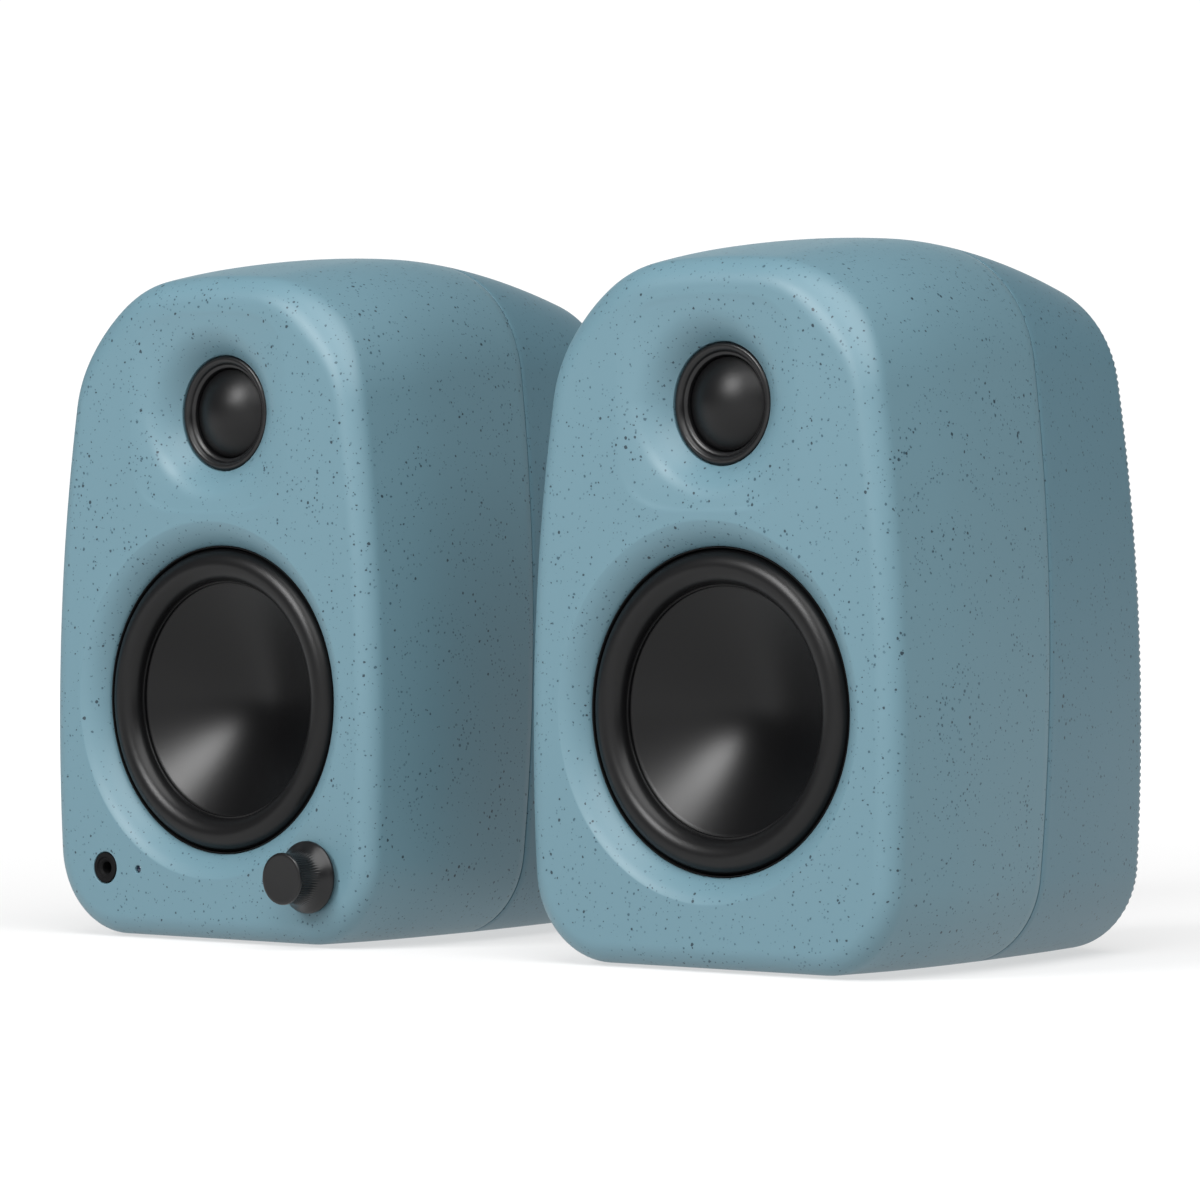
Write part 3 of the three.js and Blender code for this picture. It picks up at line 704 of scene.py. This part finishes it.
def boss_spots(border):
    """Points that carry the steps of the baffle's back face."""
    spots = []
    for radius, centre in ((54.5, WOOFER_Z), (56, WOOFER_Z), (33, TWEETER_Z), (34.5, TWEETER_Z)):
        loop = circle(radius, 0, z=centre, count=SMALL_ROUND)[:, [0, 2]]
        spots.append(loop)
    spots = np.concatenate(spots)
    inner = border * np.array([0.97, 1.0])
    fits = inside_polygon(spots, inner)
    clear = (np.hypot(spots[:, 0], spots[:, 1] - TWEETER_Z) > 20) & (
        np.hypot(spots[:, 0], spots[:, 1] - WOOFER_Z) > 48
    )
    return spots[fits & clear]


def front_shell(side, holes):
    """The front half of the cabinet, with holes for the controls."""
    marks = FRONT_MARKS
    fillet = front_fillet(marks)
    skin = Skin()
    border = skin.add(ring(0.0, fillet + 0.4, marks))
    current = skin.chain(border, ring(0.0, fillet, marks))
    for angle in np.linspace(0, math.pi / 2, 13)[1:]:
        current = skin.chain(
            current, ring(fillet * (1 - math.cos(angle)), fillet * (1 - math.sin(angle)), marks)
        )
    for share in np.linspace(0, 1, 22)[1:-1]:
        current = skin.chain(current, ring(toward_seam(fillet, share), 0.0, marks))
    edge = -SEAM_GAP / 2
    current = skin.chain(
        current,
        ring(seam_plus(edge - EDGE), 0.0, marks),
        ring(seam_plus(edge - EDGE * 0.3), EDGE * 0.3, marks),
        ring(seam_plus(edge), EDGE, marks),
        ring(seam_plus(edge), LIP, marks),
        ring(seam_plus(-2.5), LIP, marks),
        ring(seam_plus(-2.5), WALL, marks),
        ring(toward_seam(FRONT_WALL, 0.6), WALL, marks),
        ring(toward_seam(FRONT_WALL, 0.3), WALL, marks),
        ring(FRONT_WALL + 5, WALL, marks),
    )
    back = ring(FRONT_WALL, WALL + 3, marks)
    back[:, 1] = boss_depth(back[:, 0], back[:, 2])
    inner = skin.add(back)
    skin.bridge(current, inner)
    front_loops, back_loops = [], []
    for rings in [recess_rings(), dish_rings(), *[hole_rings(*hole) for hole in holes]]:
        start = skin.add(rings[0])
        front_loops.append(start)
        back_loops.append(skin.chain(start, *rings[1:]))
    skin.patch(border, front_loops)
    skin.patch(inner, back_loops, boss_spots(back[:, [0, 2]]), boss_depth)
    piece = skin.finish(side, "front_shell", side + "_speaker", "shell", MATERIAL["front_shell"])
    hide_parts(side + "_front_shell")


# ---- Rear shell ----
SCREW_SPOTS = [(-24, 158), (24, 158), (-28, 66), (28, 66)]
WELL = 3.6
WELL_POST = 6.0
SHANK_HOLE = 1.8
PORT_Z = centre_of("left", "port_tube")[1]
PORT_SEAT = 18.3
PORT_HOLE = 15.3
SEAT_DEPTH = 1.8
PANEL_Z = centre_of("left", "back_panel")[1]
PANEL_SIZE = (62.0, 36.0)
PANEL_CORNER = 5.0
REAR_MARKS = ring_marks(90, 300, 190, 40, 40)


def rib_cut(z):
    """How deep the ribbing is cut at a height: rounded ribs with narrow grooves."""
    return RIB_DEPTH * (1 - np.abs(np.sin(math.pi * z / RIB_PITCH)) ** 0.8)


def hole_distance(x, z):
    """Distance to the nearest hole in the back face, roughly."""
    port = np.hypot(x, z - PORT_Z) - PORT_SEAT
    panel = np.maximum(np.abs(x) - PANEL_SIZE[0] / 2, np.abs(z - PANEL_Z) - PANEL_SIZE[1] / 2)
    wells = [np.hypot(x - sx, z - sz) - WELL for sx, sz in SCREW_SPOTS]
    return np.minimum.reduce([port, panel, *wells])


def back_depth(x, z):
    """Depth of the ribbed back face, flat in a narrow collar round each hole."""
    return DEPTH - rib_cut(z) * smooth(hole_distance(x, z), 1.3, 1.8)


def ribbed_ring(angle, marks):
    """A ring of the rear fillet, angle 0 on the back face; the ribs fade out as it turns."""
    y = DEPTH - BACK_FILLET * (1 - math.cos(angle))
    x, z, outward = outline(y, BACK_FILLET * (1 - math.sin(angle)), marks)
    fade = 1 - smooth(math.degrees(angle), 72, 82)
    cut = rib_cut(z) * fade
    return np.column_stack(
        [
            x - cut * math.sin(angle) * np.cos(outward),
            np.full(x.shape, y) - cut * math.cos(angle),
            z - cut * math.sin(angle) * np.sin(outward),
        ]
    )


def back_spots(border):
    """Grid rows that carry the ribs, and two dense loops round each hole."""
    rows = np.arange(border[:, 1].min(), border[:, 1].max(), RIB_PITCH / 6)
    columns = np.arange(-66, 66.1, 3.0)
    grid = np.array([(x, z) for z in rows for x in columns])
    shrunk = (border - border.mean(0)) * 0.992 + border.mean(0)
    grid = grid[inside_polygon(grid, shrunk)]
    grid = grid[hole_distance(grid[:, 0], grid[:, 1]) > 2.0]
    loops = []
    for extra in (1.25, 1.8):
        loops.append(circle(PORT_SEAT + extra, 0, z=PORT_Z)[:, [0, 2]])
        size = [length + 2 * extra for length in PANEL_SIZE]
        loop = rounded_rectangle(*size, PANEL_CORNER + extra, 0, z=PANEL_Z, straight=60)
        loops.append(loop[:, [0, 2]])
        loops += [circle(WELL + extra, 0, x, z, 64)[:, [0, 2]] for x, z in SCREW_SPOTS]
    return np.concatenate([grid, *loops])


def well_rings(x, z):
    """A deep screw well with its post, down to the screw's seat."""
    seat = seam_at(z) + WALL
    steps = [
        (WELL + EDGE, DEPTH), (WELL, DEPTH - EDGE), (WELL, seat), (SHANK_HOLE, seat),
        (SHANK_HOLE, seat - 3), (WELL_POST, seat - 3), (WELL_POST, DEPTH - WALL),
    ]
    return [circle(radius, y, x, z, 64) for radius, y in steps]


def port_rings():
    steps = [
        (PORT_SEAT + EDGE, DEPTH), (PORT_SEAT, DEPTH - EDGE), (PORT_SEAT, DEPTH - SEAT_DEPTH),
        (PORT_HOLE, DEPTH - SEAT_DEPTH), (PORT_HOLE, DEPTH - WALL),
    ]
    return [circle(radius, y, z=PORT_Z) for radius, y in steps]


def panel_seat_rings():
    width, height = PANEL_SIZE
    steps = [
        (2 * (CLEAR + EDGE), PANEL_CORNER + CLEAR + EDGE, DEPTH),
        (2 * CLEAR, PANEL_CORNER + CLEAR, DEPTH - EDGE),
        (2 * CLEAR, PANEL_CORNER + CLEAR, DEPTH - SEAT_DEPTH), (-6, 4, DEPTH - SEAT_DEPTH),
        (-6, 4, DEPTH - WALL),
    ]
    return [rounded_rectangle(width + d, height + d, r, y, z=PANEL_Z) for d, r, y in steps]


def rear_shell_skin():
    """The back half of the cabinet, the same on both speakers."""
    marks = REAR_MARKS
    skin = Skin()
    edge = SEAM_GAP / 2
    lip = skin.add(ring(seam_plus(edge), LIP, marks))
    start = DEPTH - BACK_FILLET
    current = skin.chain(
        lip,
        ring(seam_plus(edge), EDGE, marks),
        ring(seam_plus(edge + EDGE * 0.3), EDGE * 0.3, marks),
        ring(seam_plus(edge + EDGE), 0.0, marks),
    )
    for share in np.linspace(0.95, 0.0, 16):
        current = skin.chain(current, ring(toward_seam(start, share), 0.0, marks))
    for degrees in [88, 85, *np.linspace(83, 0, 50)]:
        current = skin.chain(current, ribbed_ring(math.radians(degrees), marks))
    border = np.array([skin.points[i] for i in current])
    inner = skin.chain(
        lip,
        ring(seam_plus(1.5), LIP, marks),
        ring(seam_plus(1.5), WALL, marks),
        ring(toward_seam(start, 0.5), WALL, marks),
        ring(start, WALL, marks),
        ring(DEPTH - 7, WALL + 2.5, marks),
        ring(DEPTH - WALL, BACK_FILLET - 1, marks),
    )
    back_loops, inner_loops = [], []
    wells = [well_rings(x, z) for x, z in SCREW_SPOTS]
    for rings in [port_rings(), panel_seat_rings(), *wells]:
        first = skin.add(rings[0])
        back_loops.append(first)
        inner_loops.append(skin.chain(first, *rings[1:]))
    skin.patch(current, back_loops, back_spots(border[:, [0, 2]]), back_depth)
    skin.patch(inner, inner_loops)
    return skin


def rear_shells():
    skin = rear_shell_skin()
    for side in SIDES:
        # The rear shell's darker base is partly painted shade.
        piece = skin.finish(side, "rear_shell", side + "_speaker", "shell", MATERIAL["rear_shell"])
        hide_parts(side + "_rear_shell")


# ---- Woofer ----
FLANGE_Y = 12.3  # y of the front of both drivers' flanges
TRIM_INNER = 45.35
TRIM_OUTER = 45.75
TRIM_Y = 6.2
LEDGE_Y = 9.8  # y of the ledge that the surround is glued to
FRAME_BACK = 30.0
ROLL_RADIUS = 40.25
ROLL_HALF = 4.95
ROLL_FOOT = 8.7
ROLL_CREST = 4.0
ROLL_THICK = 0.9
CONE_EDGE = 34.7
CONE_Y = LEDGE_Y
CONE_DEPTH = 12.4
CONE_ROUND = 20.0  # how gently the cone's flanks meet
CONE_THICK = 0.8


def basket(side):
    profile = [
        (TRIM_INNER, TRIM_Y), (TRIM_OUTER, TRIM_Y), (TRIM_OUTER, FLANGE_Y), (52, FLANGE_Y),
        (52, FLANGE_Y + 2.5), (43.5, FLANGE_Y + 2.5), (34.8, 24.4), (34.8, FRAME_BACK),
        (16, FRAME_BACK), (16, FRAME_BACK - 1.8), (31, FRAME_BACK - 1.8), (31, 24.9),
        (33.2, 24.9), (42, LEDGE_Y), (TRIM_INNER, LEDGE_Y),
    ]
    skin = lathe(softened(profile, 0.25), 0, WOOFER_Z)
    piece = skin.finish(side, "woofer_basket", side + "_speaker", "black_steel", MATERIAL["matte"])
    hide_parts(side + "_woofer_basket")


def roll_line(shrink, steps):
    angles = np.linspace(0, math.pi, steps + 1)
    rise = ROLL_FOOT - ROLL_CREST - shrink
    across = ROLL_RADIUS + (ROLL_HALF - shrink) * np.cos(angles)
    return np.column_stack([across, ROLL_FOOT + shrink - rise * np.sin(angles)])


def flexing(piece):
    """Bakes a round piece's placement into its mesh."""
    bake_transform(piece)


def surround(side):
    front = roll_line(0, 32)
    back = roll_line(ROLL_THICK, 24)[::-1]
    glued = ROLL_FOOT + 0.8
    flange = [(CONE_EDGE + 0.15, ROLL_FOOT), (CONE_EDGE, ROLL_FOOT + 0.2), (CONE_EDGE, glued)]
    profile = [*front, *flange, *back, (ROLL_RADIUS + ROLL_HALF, glued)]
    skin = lathe(profile, 0, WOOFER_Z)
    piece = skin.finish(side, "woofer_surround", None, "rubber", MATERIAL["rubber"], sharp=50)
    flexing(piece)
    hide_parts(side + "_woofer_surround")


def spider(side):
    inner, outer = 13.1, 32.4
    waves = 5
    middle, half_thick = 23.7, 0.3
    share = np.linspace(0, 1, waves * 12 + 1)
    across = inner + (outer - inner) * share
    flat_rim = smooth(-across, -outer, 1 - outer)
    line = middle + 0.3 * np.sin(2 * math.pi * waves * share) * flat_rim
    front = np.column_stack([across, line - half_thick])
    back = np.column_stack([across, line + half_thick])[::-1]
    skin = lathe([*front, *back], 0, WOOFER_Z, SMALL_ROUND)
    piece = skin.finish(side, "woofer_spider", None, "spider", MATERIAL["spider"])
    flexing(piece)
    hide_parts(side + "_woofer_spider")


def bowl(radius):
    """Depth of the cone's face: straight flanks that meet in a round bottom."""
    fall = np.hypot(radius, CONE_ROUND) - CONE_ROUND
    whole_fall = math.hypot(CONE_EDGE, CONE_ROUND) - CONE_ROUND
    return CONE_Y + CONE_DEPTH * (1 - fall / whole_fall)


def cone(side):
    radii = CONE_EDGE * np.linspace(1, 0, 40)
    front = np.column_stack([radii, bowl(radii)])
    back = (front + np.array([0, CONE_THICK]))[::-1]
    rim = CONE_EDGE + 0.7
    profile = [(rim, CONE_Y), *front, *back, (rim, CONE_Y + CONE_THICK)]
    skin = lathe(profile, 0, WOOFER_Z)
    piece = skin.finish(side, "woofer_cone", side + "_woofer", "cone", MATERIAL["cone"])
    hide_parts(side + "_woofer_cone")


# ---- Tweeter ----
DOME_RADIUS = 13.0
DOME_BASE = 10.3
DOME_APEX = 5.4
DOME_THICK = 0.6


def tweeter_ring(side):
    profile = [
        (13.3, 10.4), (13.5, 9.3), (14.0, 9.0), (14.4, 8.9), (14.8, 8.1), (15.5, 7.5),
        (16.4, 7.5), (17, 8.0), (17, FLANGE_Y), (21, FLANGE_Y), (21, 14.4), (13.3, 14.4),
    ]
    skin = lathe(softened(profile, 0.35), 0, TWEETER_Z)
    body = side + "_speaker"
    piece = skin.finish(side, "tweeter_ring", body, "black_plastic", MATERIAL["black_plastic"])
    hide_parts(side + "_tweeter_ring")


def dome_cap(radii, lift):
    """Depth of a spherical cap over the dome's radius, moved back by lift."""
    rise = DOME_BASE - DOME_APEX
    sphere = (DOME_RADIUS**2 + rise**2) / (2 * rise)
    return DOME_APEX + lift + sphere - np.sqrt(sphere**2 - radii**2)


def dome(side):
    """The dome on its former, a short tube that reaches into the magnet."""
    former_outer, former_inner, former_end = 10.1, 9.5, 17
    outer = np.linspace(0, DOME_RADIUS, 26)
    inner = np.linspace(former_inner, 0, 20)
    profile = [
        *zip(outer, dome_cap(outer, 0)), (DOME_RADIUS, DOME_BASE + DOME_THICK),
        (former_outer, DOME_BASE + DOME_THICK), (former_outer, former_end),
        (former_inner, former_end), *zip(inner, dome_cap(inner, DOME_THICK)),
    ]
    skin = lathe(profile, 0, TWEETER_Z, 160)
    piece = skin.finish(side, "tweeter_dome", side + "_tweeter", "silk", MATERIAL["silk"])
    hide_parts(side + "_tweeter_dome")


# ---- Controls ----
FLUTES = 60
FLUTE_DEPTH = 0.24
NECK_RADIUS = 7.35
NECK_END = -8.5  # y where the knob's neck starts to flare
SKIRT_START = -2.1
SKIRT_RADIUS = 10.6
KNOB_BORE = 3.3


def knob_line(face):
    """The knob's profile: a slightly dished cap, a straight neck and a flared skirt."""
    depths = np.linspace(NECK_END, SKIRT_START, 12)
    flare = 3.2 * ((depths - NECK_END) / (SKIRT_START - NECK_END)) ** 2.3
    cap = [(0, 0.02), (6.6, 0.02), (7.1, 0), (7.45, 0.15), (7.6, 0.45), (7.6, 0.9)]
    return [
        *[(radius, face + y) for radius, y in cap],
        (NECK_RADIUS, face + 1.3),
        (NECK_RADIUS, NECK_END), *zip(NECK_RADIUS + flare, depths), (SKIRT_RADIUS, -1.9),
        (SKIRT_RADIUS, -1.4), (SKIRT_RADIUS - 0.2, -1.2), (KNOB_BORE, -1.2), (KNOB_BORE, -8.9),
        (0, -8.9),
    ]


def flute_depth(radius, y, face):
    """How deep the flutes are: full behind the cap, fading out along the flare."""
    if radius < 5 or not face + 1.2 < y < -2.6:
        return 0.0
    return FLUTE_DEPTH * float(smooth(-y, 4.6, 7.2))


def knob():
    x, z = centre_of("left", "volume_knob")
    face = low_and_high("left", "volume_knob")[0][1]
    line = knob_line(face)
    depths = [flute_depth(radius, y, face) for radius, y in line]
    skin = lathe(line, x, z, FLUTES * 8, FLUTES, depths)
    body = "volume_dial"
    piece = skin.finish("left", "volume_knob", body, "black_plastic", MATERIAL["black_plastic"])
    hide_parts("left_volume_knob")


def jack():
    x, z = centre_of("left", "headphone_jack")
    profile = [
        (1.85, 16), (1.85, 0.9), (2.5, 0.35), (3.1, 0.35), (3.3, -0.1), (4.3, -0.1), (4.5, 0.1),
        (4.5, 4.9), (4.7, 4.9), (4.7, 19), (0, 19), (0, 16),
    ]
    skin = lathe(softened(profile, 0.12), x, z, SMALL_ROUND)
    body = "left_speaker"
    piece = skin.finish("left", "headphone_jack", body, "black_plastic", MATERIAL["matte"])
    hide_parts("left_headphone_jack")


def status_light():
    x, z = centre_of("left", "status_light")
    radii = np.linspace(0, 1.1, 8)
    profile = [*zip(radii, 0.4 + 0.35 * (radii / 1.1) ** 2), (1.1, 9), (0, 9)]
    skin = lathe(profile, x, z, TINY_ROUND)
    piece = skin.finish("left", "status_light", "left_speaker", "lens", MATERIAL["lens"])
    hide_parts("left_status_light")


# ---- Back pieces ----
def port_tube(side):
    inner = [(13 + 3.5 * (1 - t) ** 2.2, DEPTH - 14 * t) for t in np.linspace(0.02, 1, 14)]
    length = low_and_high(side, "port_tube")[0][1]
    profile = [
        (16.9, DEPTH - 0.02), *inner, (13, length), (15, length), (15, DEPTH - 1.5),
        (17.9, DEPTH - 1.5), (18, DEPTH - 0.3), (17.7, DEPTH),
    ]
    skin = lathe(profile, 0, PORT_Z)
    body = side + "_speaker"
    piece = skin.finish(side, "port_tube", body, "black_plastic", MATERIAL["matte"])
    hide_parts(side + "_port_tube")


def panel_openings(side):
    """The rings of the back panel's holes, at y = 0."""
    x, z = centre_of(side, "link_socket")
    openings = [rounded_rectangle(14.6, 10.6, 1.9, 0, x, z)]
    if side == "right":
        return openings
    x, z = centre_of(side, "usb_socket")
    openings.append(rounded_rectangle(10, 4.4, 1.9, 0, x, z))
    for name in ("phono_socket_upper", "phono_socket_lower"):
        openings.append(circle(4.5, 0, *centre_of(side, name), SMALL_ROUND))
    openings.append(circle(5.7, 0, *centre_of(side, "power_inlet"), SMALL_ROUND))
    return openings


def at_depth(points, y):
    moved = points.copy()
    moved[:, 1] = y
    return moved


def back_panel(side):
    thick = 1.5
    width, height = PANEL_SIZE
    skin = Skin()
    front = skin.add(rounded_rectangle(width, height, PANEL_CORNER, DEPTH - thick, z=PANEL_Z))
    back = skin.chain(
        front,
        rounded_rectangle(width, height, PANEL_CORNER, DEPTH - EDGE, z=PANEL_Z),
        rounded_rectangle(
            width - 2 * EDGE, height - 2 * EDGE, PANEL_CORNER - EDGE, DEPTH, z=PANEL_Z
        ),
    )
    front_loops, back_loops = [], []
    for opening in panel_openings(side):
        first = skin.add(at_depth(opening, DEPTH))
        back_loops.append(first)
        front_loops.append(skin.chain(first, at_depth(opening, DEPTH - thick)))
    skin.patch(back, back_loops)
    skin.patch(front, front_loops)
    body = side + "_speaker"
    piece = skin.finish(side, "back_panel", body, "black_plastic", MATERIAL["matte"])
    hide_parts(side + "_back_panel")


def cup(sizes, corner, wall, deep, floor, x, z, y):
    """A rectangular socket shell that opens to the back, with broken edges."""
    width, height = sizes
    skin = Skin()
    base = skin.add(rounded_rectangle(width, height, corner, y - deep, x, z))
    inset = 2 * wall
    inner = max(corner - wall, 0.3)
    last = skin.chain(
        base,
        rounded_rectangle(width, height, corner, y - 0.2, x, z),
        rounded_rectangle(width - 0.3, height - 0.3, corner - 0.1, y, x, z),
        rounded_rectangle(width - inset + 0.3, height - inset + 0.3, inner + 0.1, y, x, z),
        rounded_rectangle(width - inset, height - inset, inner, y - 0.2, x, z),
        rounded_rectangle(width - inset, height - inset, inner, y - deep + floor, x, z),
    )
    skin.cap(base)
    skin.cap(last)
    return skin


def tongue(sizes, x, z, start, end):
    """A small solid bar inside a socket, with a softened tip that faces the back."""
    width, height = sizes
    skin = Skin()
    base = skin.add(rounded_rectangle(width, height, 0.2, start, x, z))
    last = skin.chain(
        base,
        rounded_rectangle(width, height, 0.2, end - 0.3, x, z),
        rounded_rectangle(width - 0.4, height - 0.4, 0.15, end, x, z),
    )
    skin.cap(base)
    skin.cap(last)
    return skin


def link_socket(side):
    x, z = centre_of(side, "link_socket")
    body = side + "_speaker"
    skin = cup((14, 10), 1.6, 1.4, 9, 2, x, z, DEPTH)
    piece = skin.finish(side, "link_socket", body, "black_plastic", MATERIAL["black_plastic"])
    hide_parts(side + "_link_socket")
    for k, (dx, dz) in enumerate([(-3, 1.5), (3, 1.5), (-3, -1.5), (3, -1.5)]):
        pin = tongue((1.0, 1.0), x + dx, z + dz, DEPTH - 7.5, DEPTH - 2.5)
        pin.finish(side, "link_pin_" + str(k + 1), body, "gold", MATERIAL["gold"])


def usb_socket():
    x, z = centre_of("left", "usb_socket")
    skin = cup((9.4, 3.8), 1.7, 0.5, 8, 1, x, z, DEPTH)
    piece = skin.finish("left", "usb_socket", "left_speaker", "steel", MATERIAL["steel"])
    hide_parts("left_usb_socket")
    bar = tongue((6.8, 0.8), x, z, DEPTH - 7.5, DEPTH - 1.2)
    bar.finish("left", "usb_tongue", "left_speaker", "black_plastic", MATERIAL["matte"])


def phono_socket(name):
    x, z = centre_of("left", name)
    back = DEPTH + 8
    under = DEPTH - 1.8
    profile = [
        (3.4, back), (3.8, back), (4.2, back - 0.4), (4.2, under), (5.6, under),
        (5.6, under - 6), (0, under - 6), (0, DEPTH + 1), (3.4, DEPTH + 1),
    ]
    skin = lathe(softened(profile, 0.15), x, z, SMALL_ROUND)
    piece = skin.finish("left", name, "left_speaker", "gold", MATERIAL["gold"])
    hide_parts("left_" + name)
    core = [
        (1.7, back - 0.4), (3.35, back - 0.4), (3.35, DEPTH + 1.05), (0, DEPTH + 1.05),
        (0, DEPTH + 3), (1.7, DEPTH + 3),
    ]
    insulator = lathe(softened(core, 0.15), x, z, SMALL_ROUND)
    material = MATERIAL["black_plastic"]
    insulator.finish("left", name + "_core", "left_speaker", "black_plastic", material)


def power_inlet():
    x, z = centre_of("left", "power_inlet")
    profile = [
        (3.1, DEPTH - 10), (3.1, DEPTH - 0.4), (3.5, DEPTH), (5.1, DEPTH), (5.4, DEPTH - 0.3),
        (5.4, DEPTH - 12), (0, DEPTH - 12), (0, DEPTH - 10),
    ]
    skin = lathe(softened(profile, 0.15), x, z, SMALL_ROUND)
    body = "left_speaker"
    piece = skin.finish("left", "power_inlet", body, "black_plastic", MATERIAL["black_plastic"])
    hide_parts("left_power_inlet")
    line = [(0, DEPTH - 2), (0.7, DEPTH - 2), (1, DEPTH - 2.4), (1, DEPTH - 10), (0, DEPTH - 10)]
    pin = lathe(line, x, z, TINY_ROUND)
    pin.finish("left", "power_pin", body, "steel", MATERIAL["steel"])


def foot_pad(side, name):
    """A soft-edged rubber pad under the cabinet."""
    low, high = low_and_high(side, name)
    width, deep = high[0] - low[0], high[1] - low[1]
    middle = (low[1] + high[1]) / 2
    skin = Skin()
    rings = []
    for shrink, z in ((0.8, 0.0), (0.25, 0.15), (0.0, 0.6), (0.0, high[2])):
        flat = rounded_rectangle(width - 2 * shrink, deep - 2 * shrink, 6 - shrink, 0)
        rings.append(np.column_stack([flat[:, 0], middle + flat[:, 2], np.full(len(flat), z)]))
    base = skin.add(rings[0])
    top = skin.chain(base, *rings[1:])
    skin.cap(base)
    skin.cap(top)
    piece = skin.finish(side, name, side + "_speaker", "rubber", MATERIAL["foot"])
    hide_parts(side + "_" + name)


# ---- Carried-over CAD nodes ----
CARRIED = {
    "shell_gasket": "gasket",
    "case_screw_1": "black_steel",
    "case_screw_2": "black_steel",
    "case_screw_3": "black_steel",
    "case_screw_4": "black_steel",
    "woofer_voice_coil": "copper",
    "woofer_magnet": "ferrite",
    "tweeter_magnet": "ferrite",
    "volume_encoder": "steel",
    "encoder_plunger": "steel",
    "volume_shaft": "steel",
    "amplifier_board": "board",
    "crossover_board": "board",
}


def paint_carried_nodes():
    for side in SIDES:
        for name, finish in CARRIED.items():
            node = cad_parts.get(side + "_" + name)
            if node is None:
                continue
            for place in node.material_slots:
                place.material = MATERIAL[finish]


# ---- Stage and light ----
def make_floor():
    """White paper that glows more with distance, so that it meets the backdrop unseen."""
    size = 12.0
    mesh = bpy.data.meshes.new("floor")
    corners = [(-size, -size, 0), (size, -size, 0), (size, size, 0), (-size, size, 0)]
    mesh.from_pydata(corners, [], [(0, 1, 2, 3)])
    floor = bpy.data.objects.new("floor", mesh)
    paper = new_material("floor paper", (0.28, 0.28, 0.28, 1), 0.9, specular=0.1)
    shader_of(paper).inputs["Emission Color"].default_value = (1, 1, 1, 1)
    distance = add_node(paper, "ShaderNodeVectorMath", operation="LENGTH")
    link(paper, object_coordinates(paper), distance.inputs[0])
    glow = remap(paper, distance.outputs["Value"], 0.25, 1.6, 0.60, 0.96, "SMOOTHSTEP")
    link(paper, glow, shader_of(paper).inputs["Emission Strength"])
    mesh.materials.append(paper)
    bpy.context.scene.collection.objects.link(floor)


def softbox(name, direction, distance, size, watts):
    """A square light that faces the right woofer from this direction."""
    data = bpy.data.lights.new(name, "AREA")
    data.shape = "SQUARE"
    data.size = size
    data.energy = watts
    lamp = bpy.data.objects.new(name, data)
    low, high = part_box("right_woofer_basket")
    towards = Vector(direction).normalized()
    lamp.location = (low + high) / 2 + towards * distance
    lamp.rotation_euler = towards.to_track_quat("Z", "Y").to_euler()
    bpy.context.scene.collection.objects.link(lamp)


def make_world():
    """A dim room with a white backdrop behind the object."""
    world = bpy.data.worlds.new("studio")
    world.use_nodes = True
    place = add_node(world, "ShaderNodeTexCoord")
    facing = add_node(world, "ShaderNodeVectorMath", operation="DOT_PRODUCT")
    link(world, place.outputs["Generated"], facing.inputs[0])
    facing.inputs[1].default_value = (-0.64, 0.77, 0.0)
    edge, core = math.cos(math.radians(30)), math.cos(math.radians(14))
    strength = remap(world, facing.outputs["Value"], edge, core, 0.13, 1.05)
    background = world.node_tree.nodes["Background"]
    background.inputs["Color"].default_value = (1, 1, 1, 1)
    link(world, strength, background.inputs["Strength"])
    bpy.context.scene.world = world


make_camera()
bpy.context.scene.view_settings.view_transform = "Standard"
make_world()
make_floor()
softbox("key", (-0.22, -0.83, 0.51), 3.0, 1.0, 68)
softbox("top", (0.42, -0.33, 0.85), 3.0, 3.2, 150)
softbox("fill", (0.35, -0.92, 0.15), 3.0, 2.5, 14)
front_shell("left", CONTROL_HOLES)
front_shell("right", [])
rear_shells()
for side in SIDES:
    basket(side)
    surround(side)
    spider(side)
    cone(side)
    tweeter_ring(side)
    dome(side)
    port_tube(side)
    back_panel(side)
    link_socket(side)
    foot_pad(side, "front_foot_pad")
    foot_pad(side, "rear_foot_pad")
knob()
jack()
status_light()
usb_socket()
phono_socket("phono_socket_upper")
phono_socket("phono_socket_lower")
power_inlet()
paint_carried_nodes()
